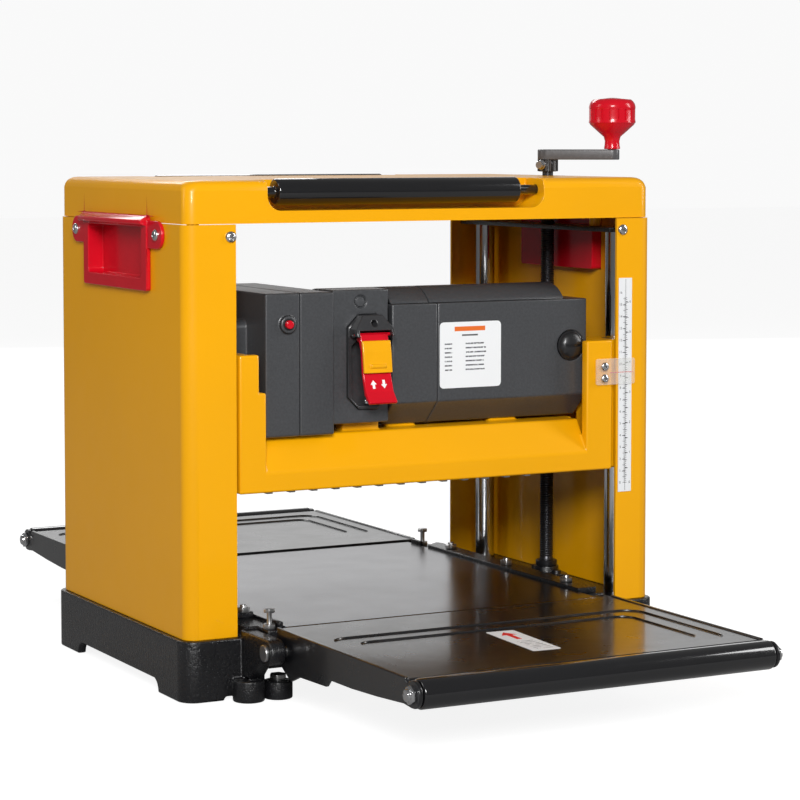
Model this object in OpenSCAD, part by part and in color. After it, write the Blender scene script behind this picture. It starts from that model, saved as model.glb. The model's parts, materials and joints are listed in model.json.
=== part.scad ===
// Benchtop thickness planer: cast base, four columns, a lifting cutter head and two fold-up tables.
// X runs across the table, -Y is the infeed side, Z is up and the bench is at Z = 0.

/* [Cabinet] */
// Width over the two side covers
cabinet_w = 426; // [420:1:432]
// Depth of the side covers, front to back
cabinet_d = 274; // [268:1:280]
// Height of the seam between the side covers and the top cover
seam_z = 370; // [366:1:372]
// Height of the top cover's upper face
top_z = 404; // [402:1:408]
// Sheet thickness of the covers
cover_t = 2.5; // [2:0.5:3]
// Corner radius of the covers in plan
cover_r = 10.5; // [8:0.5:12]

/* [Base and table] */
// Height of the base's shoulder, which the side covers stand on
base_h = 48; // [46:1:50]
// Height of the steel table's working face
table_z = 58.5; // [58:0.5:60]
// Length of the steel table, front to back
table_len = 336; // [330:2:340]
// Width of the steel table
table_w = 283; // [279:1:285]
// Radius of a column
column_r = 9; // [8:0.5:9]
// Half the distance between the left and the right columns
column_x = 193; // [192:0.5:194]
// Half the distance between the front and the rear columns
column_y = 112; // [108:1:113]

/* [Extension tables] */
// Half width of an extension table over its side flanges
wing_x = 153; // [150:1:154]
// Distance of an end roller's axis from the middle of the machine
end_roller_y = 395.5; // [380:0.5:410]
// Radius of an end roller
end_roller_r = 11; // [10:0.5:11]

/* [Cutter head] */
// Height of the cutting circle's lowest point
cut_z = 152; // [150:1:156]
// Radius of the cutting circle
cut_r = 22; // [20:1:22]
// Radius of a feed roller
feed_r = 17; // [15:1:17]
// Distance of a feed roller's axis from the cutter's axis
feed_y = 52; // [46:1:54]

/* [Crank] */
// Distance from the lead screw to the knob's axis
crank_len = 57; // [50:1:62]
// Direction of the crank arm, from +X
crank_turn = -40; // [-60:5:0]

/* [Hidden] */
$fn = 48;

// One shade for each finish
YELLOW = [0.96, 0.68, 0.03];
RED = [0.75, 0.03, 0.08];
BLACK = [0.06, 0.06, 0.065];
CHARCOAL = [0.19, 0.19, 0.2];
STEEL = [0.62, 0.63, 0.65];
CHROME = [0.8, 0.8, 0.82];
BRONZE = [0.66, 0.5, 0.25];
COPPER = [0.7, 0.4, 0.22];

// Running clearance on a radius
run_gap = 0.06;
// Clearance on the radius of a fixed pin or column in its seat
seat_gap = 0.02;
// Overshoot of a cut past the face it leaves
cut = 1;

half_w = cabinet_w / 2;
half_d = cabinet_d / 2;

// Base
base_x = half_w + 4;
base_y = half_d + 4;
base_corner = 14;
pedestal_x = 150;
casting_z = 56;
casting_y = table_len / 2 - 6.5;
lug_x = 166;
lug_y = 149;
lug_r = 12.5;
lug_h = 17;
bench_hole_r = 4.25;
small_lug_x = 141;
small_lug_r = 11.5;
small_lug_h = 14;
column_foot_z = 20;
column_top_z = 362;
plate_t = 4;

// Hinges of the extension tables
hinge_y = 186;
hinge_z = 44;
hinge_r = 4;
hinge_block_x = [156, 168];
wing_top_z = 59.5;
wing_inner_y = 173;
wing_outer_y = 383.5;
wing_t = 3;
end_roller_z = 50.5;

// Lead screws and their chain
screw_r = 6;
crank_shaft_r = 4.75;
sprocket_z = [23, 31];
sprocket_r = 11;
chain_z = [24.5, 29.5];
chain_r = [11.3, 14];

// Cutter head
head_x = 205;
head_front = 136;
head_z = 159.5;
wall_low_z = 155.5;
bevel_z = 175;
slope_top_z = 201.5;
post_z = 268;
post_step_z = 238;
wall_x = [150, 156];
well_y = 100;
boss_r = 15;
cut_axis_z = cut_z + cut_r;
feed_z = cut_z - 1 + feed_r;
bush_r = 12;
nut_r = 10;

// Motor
motor_y = -72;
motor_z = 264;
crown_y = -94;
crown_z = 283;
crown_r = 33;
barrel_y = -66;
barrel_z = 262;
barrel_r = 45;
stator_r = 36;
shell_t = 2.5;
box_front = -122;
belt_x = [-178, -164];
motor_pulley_r = 10;
cutter_pulley_r = 20;
belt_t = 2.4;

// Feed drive
sprocket_x = [174, 178];
feed_sprocket_r = 11;
drive_sprocket_r = 7;
drive_sprocket_z = 216;
feed_chain_t = 2.6;

// Anti-kickback pawls
pawl_y = -86;
pawl_z = 174;
pawl_rod_r = 3;
pawl_count = 13;
pawl_pitch = 20;

// Housings over the belt, the gears, the switch and the motor
box_x = [-141, -111, -81];
outer_box_x = -184;
panel_x = [-80.7, -31];
front_box_x = [-26, 16, 158];
front_box_z = [204, 223, 303];
chamfer_d = 20;

// Switch
switch_x = -50;
switch_z = 258;
paddle_pivot = [-134, 280.5];
key_tongue_w = 5;
key_tongue_z = [261, 264];

reset_at = [-122, 290.5];
reset_r = 3.4;

// Top return rollers
top_roller_x = [-130, 89];
top_roller_y = 121;
top_roller_z = 394.5;
top_roller_r = 10.5;
recess_x = [-142, 108];
recess_z = 380;
recess_y = 105;

// Depth scale on the right cover
scale_x = [180, 193];
scale_z = [140, 320];

// Carrying handles
handle_y = 69;
handle_z = [316, 376];
handle_open_y = 58;
handle_open_z = [326, 367];
handle_ear_y = 87;
handle_ear_z = 361;
handle_back_x = 201.5;
handle_face_x = half_w + 4;
screw_head_r = 4.6;

// A box between two corners
module block(x, y, z) {
    translate([x[0], y[0], z[0]])
        cube([x[1] - x[0], y[1] - y[0], z[1] - z[0]]);
}

// A rounded rectangle from exact arcs
module rounded(x, y, r) {
    translate([x[0] + r, y[0]])
        square([x[1] - x[0] - 2 * r, y[1] - y[0]]);
    translate([x[0], y[0] + r])
        square([x[1] - x[0], y[1] - y[0] - 2 * r]);
    for (px = [x[0] + r, x[1] - r], py = [y[0] + r, y[1] - r])
        translate([px, py])
            circle(r);
}

// Stands a flat outline up: its X is the machine's Y, its Y is Z, and it runs along X
module along_x(x) {
    translate([x[0], 0, 0])
        rotate([90, 0, 90])
            linear_extrude(x[1] - x[0])
                children();
}

// Stands a flat outline up in the X-Z plane and runs it along Y
module along_y(y) {
    translate([0, y[1], 0])
        rotate([90, 0, 0])
            linear_extrude(y[1] - y[0])
                children();
}

module rod_x(x, y, z, r) {
    translate([x[0], y, z])
        rotate([0, 90, 0])
            cylinder(h = x[1] - x[0], r = r);
}

module rod_y(y, x, z, r) {
    translate([x, y[0], z])
        rotate([-90, 0, 0])
            cylinder(h = y[1] - y[0], r = r);
}

module rod_z(z, x, y, r) {
    translate([x, y, z[0]])
        cylinder(h = z[1] - z[0], r = r);
}

module left_and_right() {
    children();
    mirror([1, 0, 0])
        children();
}

module front_and_back() {
    children();
    mirror([0, 1, 0])
        children();
}

module at_four() {
    left_and_right()
        front_and_back()
            children();
}

// A loop round two or more circles that share one radius difference: belt and chain outlines
module hull_of(points, extra) {
    hull()
        for (p = points)
            translate([p[0], p[1]])
                circle(p[2] + extra, $fn = 48);
}

// ---------------------------------------------------------------- base

module pedestal() {
    difference() {
        linear_extrude(base_h)
            rounded([pedestal_x, base_x], [-base_y, base_y], base_corner);
        translate([0, 0, -cut])
            linear_extrude(base_h - 8 + cut)
                rounded([pedestal_x + 7, base_x - 7], [-base_y + 7, base_y - 7], base_corner - 7);
        along_x([pedestal_x - cut, base_x + cut])
            rounded([-88, 88], [-20, 10], 10);
        along_y([-base_y - cut, base_y + cut])
            rounded([pedestal_x - 20, base_x - 34], [-20, 3], 3);
        block([pedestal_x - cut, pedestal_x + 9], [-17, 17], [16, 36]);
    }
}

module hinge_block() {
    along_x(hinge_block_x) {
        translate([-hinge_y, hinge_z - 10])
            square([hinge_y - base_y + 3, 20]);
        translate([-hinge_y, hinge_z])
            circle(10);
        polygon([[-base_y + 3, 12], [-base_y - 8, 12], [-hinge_y + 12, hinge_z - 8], [-base_y + 3, hinge_z - 8]]);
    }
}

module base_casting() {
    color(BLACK)
    difference() {
        union() {
            left_and_right()
                pedestal();
            block([-165, 165], [-base_y + 1, base_y - 1], [base_h - 2, casting_z]);
            block([-155, 155], [-casting_y, casting_y], [base_h - 2, casting_z]);
            front_and_back()
                block([-pedestal_x - 5, pedestal_x + 5], [-casting_y, -casting_y + 7], [26, casting_z - 1]);
            for (x = [-100, 0, 100])
                block([x - 3, x + 3], [-casting_y + 2, casting_y - 2], [34, base_h]);
            at_four() {
                hinge_block();
                rod_z([0, lug_h], lug_x, -lug_y, lug_r);
                rod_z([0, small_lug_h], small_lug_x, -lug_y, small_lug_r);
                block([small_lug_x, lug_x + 8], [-lug_y, -base_y + 4], [0, small_lug_h - 2]);
                block([pedestal_x + 1, pedestal_x + 7], [-base_y - 6, -base_y + 4], [small_lug_h - 4, 36]);
                rod_z([column_foot_z - 6, base_h], column_x, -column_y, boss_r);
            }
        }
        at_four() {
            rod_z([column_foot_z, base_h + cut], column_x, -column_y, column_r + seat_gap);
            rod_z([-cut, lug_h + cut], lug_x, -lug_y, bench_hole_r);
            rod_x([hinge_block_x[0] - cut, hinge_block_x[1] + cut], -hinge_y, hinge_z, hinge_r + seat_gap);
        }
        left_and_right()
            rod_z([base_h - 10, base_h + cut], column_x, 0, screw_r + 0.5);
    }
}

module table_plate() {
    color(STEEL) {
        block([-table_w / 2, table_w / 2], [-table_len / 2 + 3, table_len / 2 - 3], [casting_z, table_z]);
        front_and_back()
            rod_x([-table_w / 2, table_w / 2], -table_len / 2 + 3, table_z - 3, 3);
    }
}

module guide_strips() {
    inner = table_w / 2 + 0.5;
    outer = 160;
    color(BLACK) {
        translate([0, 0, casting_z])
            linear_extrude(5)
                polygon([[inner, -136], [outer, -136], [outer, 132], [outer - 3, 139], [inner, 128]]);
        translate([0, 0, casting_z])
            linear_extrude(5)
                polygon([[-inner, -106], [-outer, -106], [-outer, 132], [-outer + 3, 139], [-inner, 128]]);
        block([-inner - 3.5, -inner], [-casting_y, -casting_y + 18], [casting_z, casting_z + 6]);
        block([inner, inner + 3.5], [casting_y - 18, casting_y], [casting_z, casting_z + 6]);
    }
}

module hex_prism(z, x, y, flat_r) {
    translate([x, y, z[0]])
        cylinder(h = z[1] - z[0], r = flat_r / cos(30), $fn = 6);
}

// Hex nuts that hold the guide strips, the clip screws and the two standing stop bolts
module table_bolts() {
    strip_top = casting_z + 5;
    color(STEEL) {
        for (y = [-104, -3, 98])
            left_and_right() {
                hex_prism([strip_top, strip_top + 4], 150, y, 5);
                rod_z([strip_top + 4, strip_top + 6], 150, y, 2.8);
            }
        for (side = [-1, 1])
            translate([side * 151, side * 155, 0]) {
                hex_prism([casting_z, casting_z + 4], 0, 0, 4.5);
                rod_z([casting_z + 4, casting_z + 13], 0, 0, 2);
                hex_prism([casting_z + 13, casting_z + 16], 0, 0, 4.2);
            }
        at_four()
            hex_prism([small_lug_h, small_lug_h + 5], small_lug_x, -lug_y, 6);
    }
}

module columns() {
    color(CHROME)
    at_four()
        rod_z([column_foot_z, column_top_z], column_x, -column_y, column_r);
}

module screw_flanges() {
    color(BLACK)
    left_and_right()
        difference() {
            union() {
                rod_z([base_h, base_h + 9], column_x, 0, 11);
                translate([0, 0, base_h])
                    linear_extrude(4)
                        rounded([column_x - 11, column_x + 11], [-24, 24], 8);
                for (y = [-17.5, 17.5])
                    rod_z([base_h + 4, base_h + 7], column_x, y, 4.2);
            }
            rod_z([base_h - cut, base_h + 10], column_x, 0, screw_r + run_gap);
        }
}

// ---------------------------------------------------------------- covers

module cover_outline(shrink) {
    rounded([-half_w + shrink, half_w - shrink], [-half_d + shrink, half_d - shrink], cover_r - shrink);
}

module side_cover(front_edge, rear_edge) {
    difference() {
        translate([0, 0, base_h])
            linear_extrude(seam_z - base_h)
                difference() {
                    cover_outline(0);
                    cover_outline(cover_t);
                    translate([-half_w - cut, -half_d - cut])
                        square([half_w + front_edge + cut, half_d + cut]);
                    translate([-half_w - cut, 0])
                        square([half_w + rear_edge + cut, half_d + cut]);
                }
        block([half_w - 8, half_w + cut], [-handle_open_y - 3, handle_open_y + 3], [handle_open_z[0] - 3, seam_z + cut]);
    }
}

module left_cover() {
    color(YELLOW)
    mirror([1, 0, 0])
        side_cover(170, 170.5);
}

module right_cover() {
    color(YELLOW)
    side_cover(178, 170.5);
}

// The top cover's body, with its upper edge rounded in steps
module cap_body(shrink) {
    round_r = 8;
    inset = 1.5 + shrink;
    hull() {
        translate([0, 0, seam_z + 0.5 - (shrink > 0 ? cut : 0)])
            linear_extrude(top_z - seam_z - 1 - round_r)
                cover_outline(inset);
        for (a = [0:18:90])
            translate([0, 0, top_z - shrink - round_r + round_r * sin(a) - 0.1])
                linear_extrude(0.1)
                    rounded(
                        [-half_w + inset + round_r * (1 - cos(a)), half_w - inset - round_r * (1 - cos(a))],
                        [-half_d + inset + round_r * (1 - cos(a)), half_d - inset - round_r * (1 - cos(a))],
                        cover_r);
    }
}

module top_cover() {
    wall = 2.5;
    color(YELLOW)
    difference() {
        union() {
            difference() {
                cap_body(0);
                cap_body(cover_t);
            }
            at_four()
                rod_z([column_top_z, top_z - 2], 186, -90, 5);
            front_and_back()
                along_y([-half_d + 3, -recess_y + wall])
                    intersection() {
                        rounded([recess_x[0] - wall, recess_x[1] + wall], [recess_z - wall, top_z + 40], 14);
                        translate([-half_w, 0])
                            square([2 * half_w, top_z - 1]);
                    }
        }
        front_and_back() {
            along_y([-half_d - cut, -recess_y])
                rounded(recess_x, [recess_z, top_z + 40], 12);
            rod_x([recess_x[0] - 8, recess_x[1] + 8], -top_roller_y, top_roller_z, hinge_r + run_gap);
        }
        rod_z([top_z - 6, top_z + cut], column_x, 0, 7);
    }
}

module handle() {
    wall = 2.5;
    color(RED)
    difference() {
        union() {
            along_x([half_w, handle_face_x])
                rounded([-handle_y, handle_y], handle_z, 3);
            along_x([half_w, half_w + 3]) {
                for (side = [-1, 1]) {
                    translate([side * handle_ear_y, handle_ear_z])
                        circle(11);
                    translate([side > 0 ? handle_y - 4 : -handle_ear_y, handle_ear_z - 11])
                        square([handle_ear_y - handle_y + 4, 22]);
                }
            }
            along_x([handle_back_x, half_w])
                rounded([-handle_open_y - wall, handle_open_y + wall], [handle_open_z[0] - wall, handle_open_z[1] + 2], 3);
            along_y([-handle_y, handle_y])
                polygon([[handle_face_x - 1, handle_z[1]], [handle_face_x + 5, handle_z[1] - 4],
                    [handle_face_x + 5, handle_z[1] - 7], [handle_face_x - 1, handle_z[1] - 9]]);
        }
        along_x([handle_back_x + 2, handle_face_x + cut])
            rounded([-handle_open_y, handle_open_y], handle_open_z, 4);
    }
}

module left_handle() {
    mirror([1, 0, 0])
        handle();
}

module right_handle() {
    handle();
}

// Pan-head screws of the covers and the handles
module cover_screws() {
    color(CHROME) {
        front_and_back()
            for (x = [-174.6, 183.5])
                translate([x, -half_d, seam_z - 9.5])
                    rotate([90, 0, 0])
                        pan_head();
        left_and_right()
            front_and_back()
                translate([half_w + 3, -handle_ear_y, handle_ear_z])
                    rotate([0, 90, 0])
                        pan_head();
    }
}

module pan_head() {
    rotate_extrude()
        intersection() {
            square([screw_head_r, 3]);
            translate([0, -4.6])
                circle(7.6);
        }
}

// Plates that tie the column tops together and steady the lead screws
module top_plates() {
    color(STEEL)
    left_and_right()
        difference() {
            union() {
                block([176, 200.5], [-128, 128], [column_top_z - plate_t, column_top_z]);
                front_and_back()
                    block([176, 206], [-128, -78], [column_top_z - plate_t, column_top_z]);
            }
            front_and_back()
                rod_z([column_top_z - 10, column_top_z + cut], column_x, -column_y, column_r + seat_gap);
            rod_z([column_top_z - 10, column_top_z + cut], column_x, 0, screw_r + run_gap);
        }
}

module scale_strip() {
    color("white")
    block(scale_x, [-half_d - 0.6, -half_d], scale_z);
}

module hinge_pins() {
    color(STEEL)
    at_four() {
        rod_x([wing_x - 6, hinge_block_x[1] + 2], -hinge_y, hinge_z, hinge_r);
        rod_x([hinge_block_x[1], hinge_block_x[1] + 3], -hinge_y, hinge_z, hinge_r + 2.5);
    }
}

module stadium(r) {
    for (x = [-column_x, column_x])
        translate([x, 0])
            circle(r);
    translate([-column_x, -r])
        square([2 * column_x, 2 * r]);
}

module lift_chain() {
    color(STEEL)
    translate([0, 0, chain_z[0]])
        linear_extrude(chain_z[1] - chain_z[0])
            difference() {
                stadium(chain_r[1]);
                stadium(chain_r[0]);
            }
}

// ---------------------------------------------------------------- lead screws and crank

module lead_screw(top) {
    rod_z([sprocket_z[0] - 6, top], 0, 0, screw_r);
    rod_z(sprocket_z, 0, 0, sprocket_r);
    rod_z([base_h + 9.2, base_h + 14], 0, 0, 9.5);
}

module right_screw() {
    color(STEEL)
    translate([column_x, 0, 0]) {
        lead_screw(top_z - 4);
        rod_z([top_z - 4, top_z + 14], 0, 0, crank_shaft_r);
    }
}

module left_screw() {
    color(STEEL)
    translate([-column_x, 0, 0])
        lead_screw(column_top_z + 4);
}

module at_crank() {
    translate([column_x, 0, 0])
        rotate([0, 0, crank_turn])
            children();
}

module crank_arm() {
    hub_z = [top_z + 3.5, top_z + 14];
    arm_z = [top_z + 14, top_z + 23];
    color(CHARCOAL)
    at_crank() {
        difference() {
            rod_z(hub_z, 0, 0, 8.2);
            rod_z([hub_z[0] - cut, hub_z[1] + cut], 0, 0, crank_shaft_r);
        }
        translate([0, 0, arm_z[0]])
            linear_extrude(arm_z[1] - arm_z[0]) {
                circle(9);
                translate([crank_len, 0])
                    circle(6.5);
                polygon([[0, -9], [0, 9], [crank_len, 6.5], [crank_len, -6.5]]);
            }
        rod_z([arm_z[1], arm_z[1] + 34], crank_len, 0, 3.5);
    }
}

module crank_knob() {
    low = top_z + 23.3;
    color(RED)
    at_crank()
        translate([crank_len, 0, low])
            difference() {
                rotate_extrude()
                    union() {
                        polygon([[0, 0], [7, 0], [6.2, 3], [6.4, 9], [20.5, 21], [20.5, 40], [0, 40]]);
                        translate([0, 40])
                            square([15.5, 5]);
                        translate([15.5, 40])
                            intersection() {
                                circle(5);
                                square([5, 5]);
                            }
                    }
                rod_z([-cut, 36], 0, 0, 3.5 + run_gap);
            }
}

// ---------------------------------------------------------------- cutter head frame

// A beam across the head: upright face, then a slope back to the deck
module head_beam() {
    along_x([-wall_x[0] - 2, wall_x[0] + 2])
        polygon([[-head_front, head_z], [-head_front, bevel_z], [-head_front + 18, slope_top_z],
            [-well_y, slope_top_z], [-well_y, head_z]]);
}

// One corner post: a flat front, and a boss round the column behind the cover's edge
module corner_post(inner_low, inner_high, outer) {
    block([inner_low, outer], [-head_front, -head_front + 9], [head_z, post_step_z]);
    block([inner_high, outer], [-head_front, -head_front + 9], [post_step_z, post_z]);
    block([outer - 12, head_x], [-head_front + 8, -well_y + 3], [head_z, post_z]);
}

module head_walls() {
    left_and_right() {
        block(wall_x, [-well_y - 2, well_y + 2], [wall_low_z, slope_top_z]);
        block([head_x - 6, head_x], [-well_y, well_y], [head_z, slope_top_z]);
        block([182, head_x], [-17, 17], [head_z, slope_top_z]);
    }
}

// Pads that the switch panel, the front covers and the motor housing stand on
module housing_bosses() {
    block([-66, -33], [-112, -98.5], [slope_top_z - 3, panel_z[0]]);
    for (x = [-20, 76])
        block([x, x + 26], [box_front + chamfer_d + 1, -92], [slope_top_z - 3, front_box_z[0]]);
    for (x = [-60, 40, 104])
        block([x, x + 24], [barrel_y - 6, barrel_y + 6], [slope_top_z - 3, barrel_z - barrel_r]);
}

module head_casting() {
    color(YELLOW)
    difference() {
        union() {
            front_and_back()
                head_beam();
            corner_post(wall_x[0], wall_x[0], 175);
            mirror([1, 0, 0])
                corner_post(wall_x[0] - 6, wall_x[0], 167);
            mirror([0, 1, 0]) {
                corner_post(wall_x[0], wall_x[0], 167);
                mirror([1, 0, 0])
                    corner_post(wall_x[0], wall_x[0], 167);
            }
            head_walls();
            housing_bosses();
            block([-wall_x[0] - 2, wall_x[0] + 2], [-well_y - 2, 26], [slope_top_z - 4.5, slope_top_z]);
            block([-wall_x[0] - 2, wall_x[0] + 2], [92, well_y + 2], [slope_top_z - 4.5, slope_top_z]);
        }
        at_four()
            rod_z([head_z - cut, post_z + cut], column_x, -column_y, bush_r + seat_gap);
        left_and_right() {
            rod_z([head_z - cut, post_z + cut], column_x, 0, nut_r + seat_gap);
            rod_x([wall_x[0] - cut, wall_x[1] + cut], 0, cut_axis_z, 13 + seat_gap);
            front_and_back()
                rod_x([wall_x[0] - cut, wall_x[1] + cut], -feed_y, feed_z, 9 + seat_gap);
        }
    }
}

// Bronze bushes on the columns, and the two nuts on the lead screws
module lift_bushes() {
    color(BRONZE) {
        at_four()
            for (z = [[head_z, head_z + 28], [post_z - 28, post_z]])
                difference() {
                    rod_z(z, column_x, -column_y, bush_r);
                    rod_z([z[0] - cut, z[1] + cut], column_x, -column_y, column_r + run_gap);
                }
        left_and_right()
            difference() {
                rod_z([head_z, slope_top_z], column_x, 0, nut_r);
                rod_z([head_z - cut, slope_top_z + cut], column_x, 0, screw_r + run_gap);
            }
    }
}

// Ball bearings: cutter, feed rollers and motor shaft
module head_bearings() {
    color(STEEL) {
        left_and_right() {
            ring_x([wall_x[0], wall_x[1]], 0, cut_axis_z, 13, 8 + run_gap);
            front_and_back()
                ring_x([wall_x[0], wall_x[1]], -feed_y, feed_z, 9, 6 + run_gap);
        }
        ring_x([-98, -90], motor_y, motor_z, 16, 6 + run_gap);
        ring_x([163, 171], motor_y, motor_z, 16, 6 + run_gap);
    }
}

module ring_x(x, y, z, outer, inner) {
    difference() {
        rod_x(x, y, z, outer);
        rod_x([x[0] - cut, x[1] + cut], y, z, inner);
    }
}

// ---------------------------------------------------------------- motor covers

box_y = [-128, 22];
box_z = [201.5, 315];
outer_box_y = [-93, 30];
outer_box_z = 292;

// The tall black box at the left, over the belt end of the motor
module belt_cover() {
    color(CHARCOAL)
    difference() {
        rod_y([box_y[0] - 3, box_y[0] + 13], reset_at[0], reset_at[1], 7);
        rod_y([box_y[0] - 4, box_y[0] + 11.5], reset_at[0], reset_at[1], reset_r + run_gap);
    }
    color(CHARCOAL)
    difference() {
        union() {
            along_x([box_x[0], box_x[1] - 0.3])
                rounded(box_y, box_z, 2);
            along_x([outer_box_x, box_x[0] + cut])
                rounded(outer_box_y, [box_z[0], outer_box_z], 6);
        }
        along_x([box_x[0] + shell_t, box_x[1] + cut])
            rounded([box_y[0] + shell_t, box_y[1] - shell_t], [box_z[0] + shell_t, box_z[1] - shell_t], 1);
        along_x([outer_box_x + shell_t, box_x[0] + cut])
            rounded([outer_box_y[0] + shell_t, outer_box_y[1] - shell_t],
                [box_z[0] + shell_t, outer_box_z - shell_t], 4);
        block([outer_box_x + shell_t, box_x[0]], [outer_box_y[0] + shell_t, outer_box_y[1] - shell_t],
            [box_z[0] - cut, box_z[0] + 5]);
        rod_x([box_x[0] - cut, box_x[0] + 5], motor_y, motor_z, 20);
        rod_y([box_y[0] - cut, box_y[0] + 5], reset_at[0], reset_at[1], 6.5);
    }
}

// The right half of that box, which carries the motor's left bearing
module gear_cover() {
    color(CHARCOAL)
    difference() {
        union() {
            difference() {
                along_x([box_x[1], box_x[2]])
                    rounded(box_y, box_z, 2);
                along_x([box_x[1] - cut, box_x[2] - shell_t])
                    rounded([box_y[0] + shell_t, box_y[1] - shell_t], [box_z[0] + shell_t, box_z[1] - shell_t], 1);
            }
            rod_x([-98, box_x[2]], motor_y, motor_z, 21);
        }
        rod_x([-99, -90], motor_y, motor_z, 16 + seat_gap);
        rod_x([-99, box_x[2] + cut], motor_y, motor_z, 10);
    }
}

panel_z = [209, 316];
panel_front = -125;

module octagon(x, z, w, h, corner) {
    polygon([[x - w + corner, z - h], [x + w - corner, z - h], [x + w, z - h + corner], [x + w, z + h - corner],
        [x + w - corner, z + h], [x - w + corner, z + h], [x - w, z + h - corner], [x - w, z - h + corner]]);
}

module switch_panel() {
    color(CHARCOAL)
    difference() {
        along_x(panel_x)
            rounded([panel_front, -98], panel_z, 1.5);
        along_x([panel_x[0] + shell_t, panel_x[1] - shell_t])
            rounded([panel_front + shell_t, -98 + cut], [panel_z[0] + shell_t, panel_z[1] - shell_t], 1);
        along_y([panel_front - cut, panel_front + 4])
            octagon(switch_x, switch_z, 18.2, 38.2, 10);
        rod_y([panel_front - cut, panel_front + 0.6], -56, 306.5, 5.2);
    }
    color(CHARCOAL)
    rod_y([panel_front, panel_front + 0.6], -56, 306.5, 4.2);
}

// Octagonal switch bezel with a hood over the paddle's pivot
module switch_bezel() {
    color(BLACK)
    difference() {
        union() {
            along_y([-121.5, -100])
                octagon(switch_x, switch_z, 16, 36, 9);
            along_y([panel_front - 2, -121.5])
                octagon(switch_x, switch_z, 18, 38, 10);
            along_y([-142, panel_front])
                polygon([[switch_x - 17, 279], [switch_x - 17, 285], [switch_x - 9, 296], [switch_x + 9, 296],
                    [switch_x + 17, 285], [switch_x + 17, 279]]);
        }
        along_y([-128, -118])
            octagon(switch_x, 250, 15, 27, 6);
        along_y([-143, -127])
            polygon([[switch_x - 14.5, 270], [switch_x - 14.5, 284], [switch_x + 14.5, 284], [switch_x + 14.5, 270]]);
        along_x([switch_x - 30, switch_x + 30])
            polygon([[-143, 278], [-143, 297], [-134, 297]]);
        rod_x([switch_x - 18, switch_x + 18], paddle_pivot[0], paddle_pivot[1], 1.5 + run_gap);
        rod_y([-143, -118], switch_x, 289.5, 2.6);
    }
}

function arc(centre, r, from, to, steps) =
    [for (i = [0:steps]) centre + r * [cos(from + (to - from) * i / steps), sin(from + (to - from) * i / steps)]];

// Outline of the housing over the motor: a crowned top that falls away to the rear
module barrel_outline(shrink) {
    crown = [crown_y, crown_z];
    barrel = [barrel_y, barrel_z];
    toward = atan2(crown_z - barrel_z, crown_y - barrel_y);
    spread = acos((barrel_r - crown_r) / norm(crown - barrel));
    polygon(concat(
        arc(crown, crown_r - shrink, toward - spread, toward + spread, 18),
        arc(barrel, barrel_r - shrink, toward + spread, toward - spread + 360, 28)));
}

// Outline of the flat box in front of the motor, chamfered below
module front_outline(shrink) {
    polygon([
        [box_front + shrink, front_box_z[2] - shrink], [box_front + shrink, front_box_z[1] + shrink / 2],
        [box_front + chamfer_d + shrink / 2, front_box_z[0] + shrink], [motor_y, front_box_z[0] + shrink],
        [motor_y, front_box_z[2] - shrink]
    ]);
}

module front_shell(x, closed_end) {
    difference() {
        along_x(x)
            difference() {
                front_outline(0);
                front_outline(shell_t);
                translate([motor_y - 6, 200])
                    square([20, 120]);
            }
    }
    along_x([closed_end, closed_end + shell_t])
        difference() {
            front_outline(0);
            translate([motor_y - 6, 200])
                square([20, 120]);
            translate([motor_y, motor_z])
                circle(barrel_r - 3);
        }
}

module motor_cover() {
    color(CHARCOAL)
    front_shell([front_box_x[0], front_box_x[1] - 0.3], front_box_x[0]);
}

module motor_end_cover() {
    color(CHARCOAL)
    difference() {
        front_shell([front_box_x[1], front_box_x[2]], front_box_x[2] - shell_t);
        rod_y([box_front - cut, box_front + 6], 142.5, motor_z, 12.6);
    }
}

// A cone about the motor's axis, from the barrel's end wall to its bearing
module end_cone(x, r) {
    translate([x[0], motor_y, motor_z])
        rotate([0, 90, 0])
            cylinder(h = x[1] - x[0], r1 = r[0], r2 = r[1]);
}

module motor_barrel() {
    end_x = 137;
    cone_end = 161;
    cap_end = 174;
    box_gap = 0.3;
    facet_gap = 0.12;
    color(CHARCOAL)
    difference() {
        union() {
            difference() {
                along_x([-80.5, end_x])
                    barrel_outline(0);
                along_x([-80.5 - cut, end_x - shell_t])
                    barrel_outline(shell_t);
            }
            for (x = [30, 84])
                along_x([x, x + 4])
                    difference() {
                        barrel_outline(shell_t - 0.5);
                        translate([motor_y, motor_z])
                            circle(stator_r + facet_gap);
                    }
            end_cone([end_x - 1, cone_end], [37, 24]);
            rod_x([cone_end - 1, cap_end], motor_y, motor_z, 20);
        }
        end_cone([end_x - shell_t - cut, cone_end - 3], [34, 21]);
        rod_x([163, 171], motor_y, motor_z, 16 + facet_gap);
        rod_x([150, 172], motor_y, motor_z, 10);
        along_x([front_box_x[0] - box_gap, front_box_x[2] + box_gap])
            translate([box_front - 8, 190])
                square([motor_y - 6 - box_front + 8, 303 + box_gap - 190]);
        block([panel_x[0] - cut, front_box_x[0]], [-140, -97.5], [190, 320]);
    }
}

module brush_caps() {
    color(BLACK) {
        rod_y([box_front - 2, box_front + 12], 142.5, motor_z, 12.5);
        intersection() {
            translate([142.5, box_front + 14, motor_z])
                sphere(20.2);
            rod_y([box_front - 7, box_front - 2], 142.5, motor_z, 12.5);
        }
    }
}

module stator() {
    color(COPPER)
    ring_x([24, 96], motor_y, motor_z, stator_r, 26);
}

module cable_gland() {
    color(BLACK)
    difference() {
        union() {
            rod_y([barrel_y + barrel_r, barrel_y + barrel_r + 16], 60, 256, 6.5);
            rod_y([barrel_y + barrel_r, barrel_y + barrel_r + 5], 60, 256, 9);
        }
        rod_y([barrel_y + barrel_r + 5, barrel_y + barrel_r + 17], 60, 256, 4);
    }
}

// ---------------------------------------------------------------- motor, belt and cutter

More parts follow.
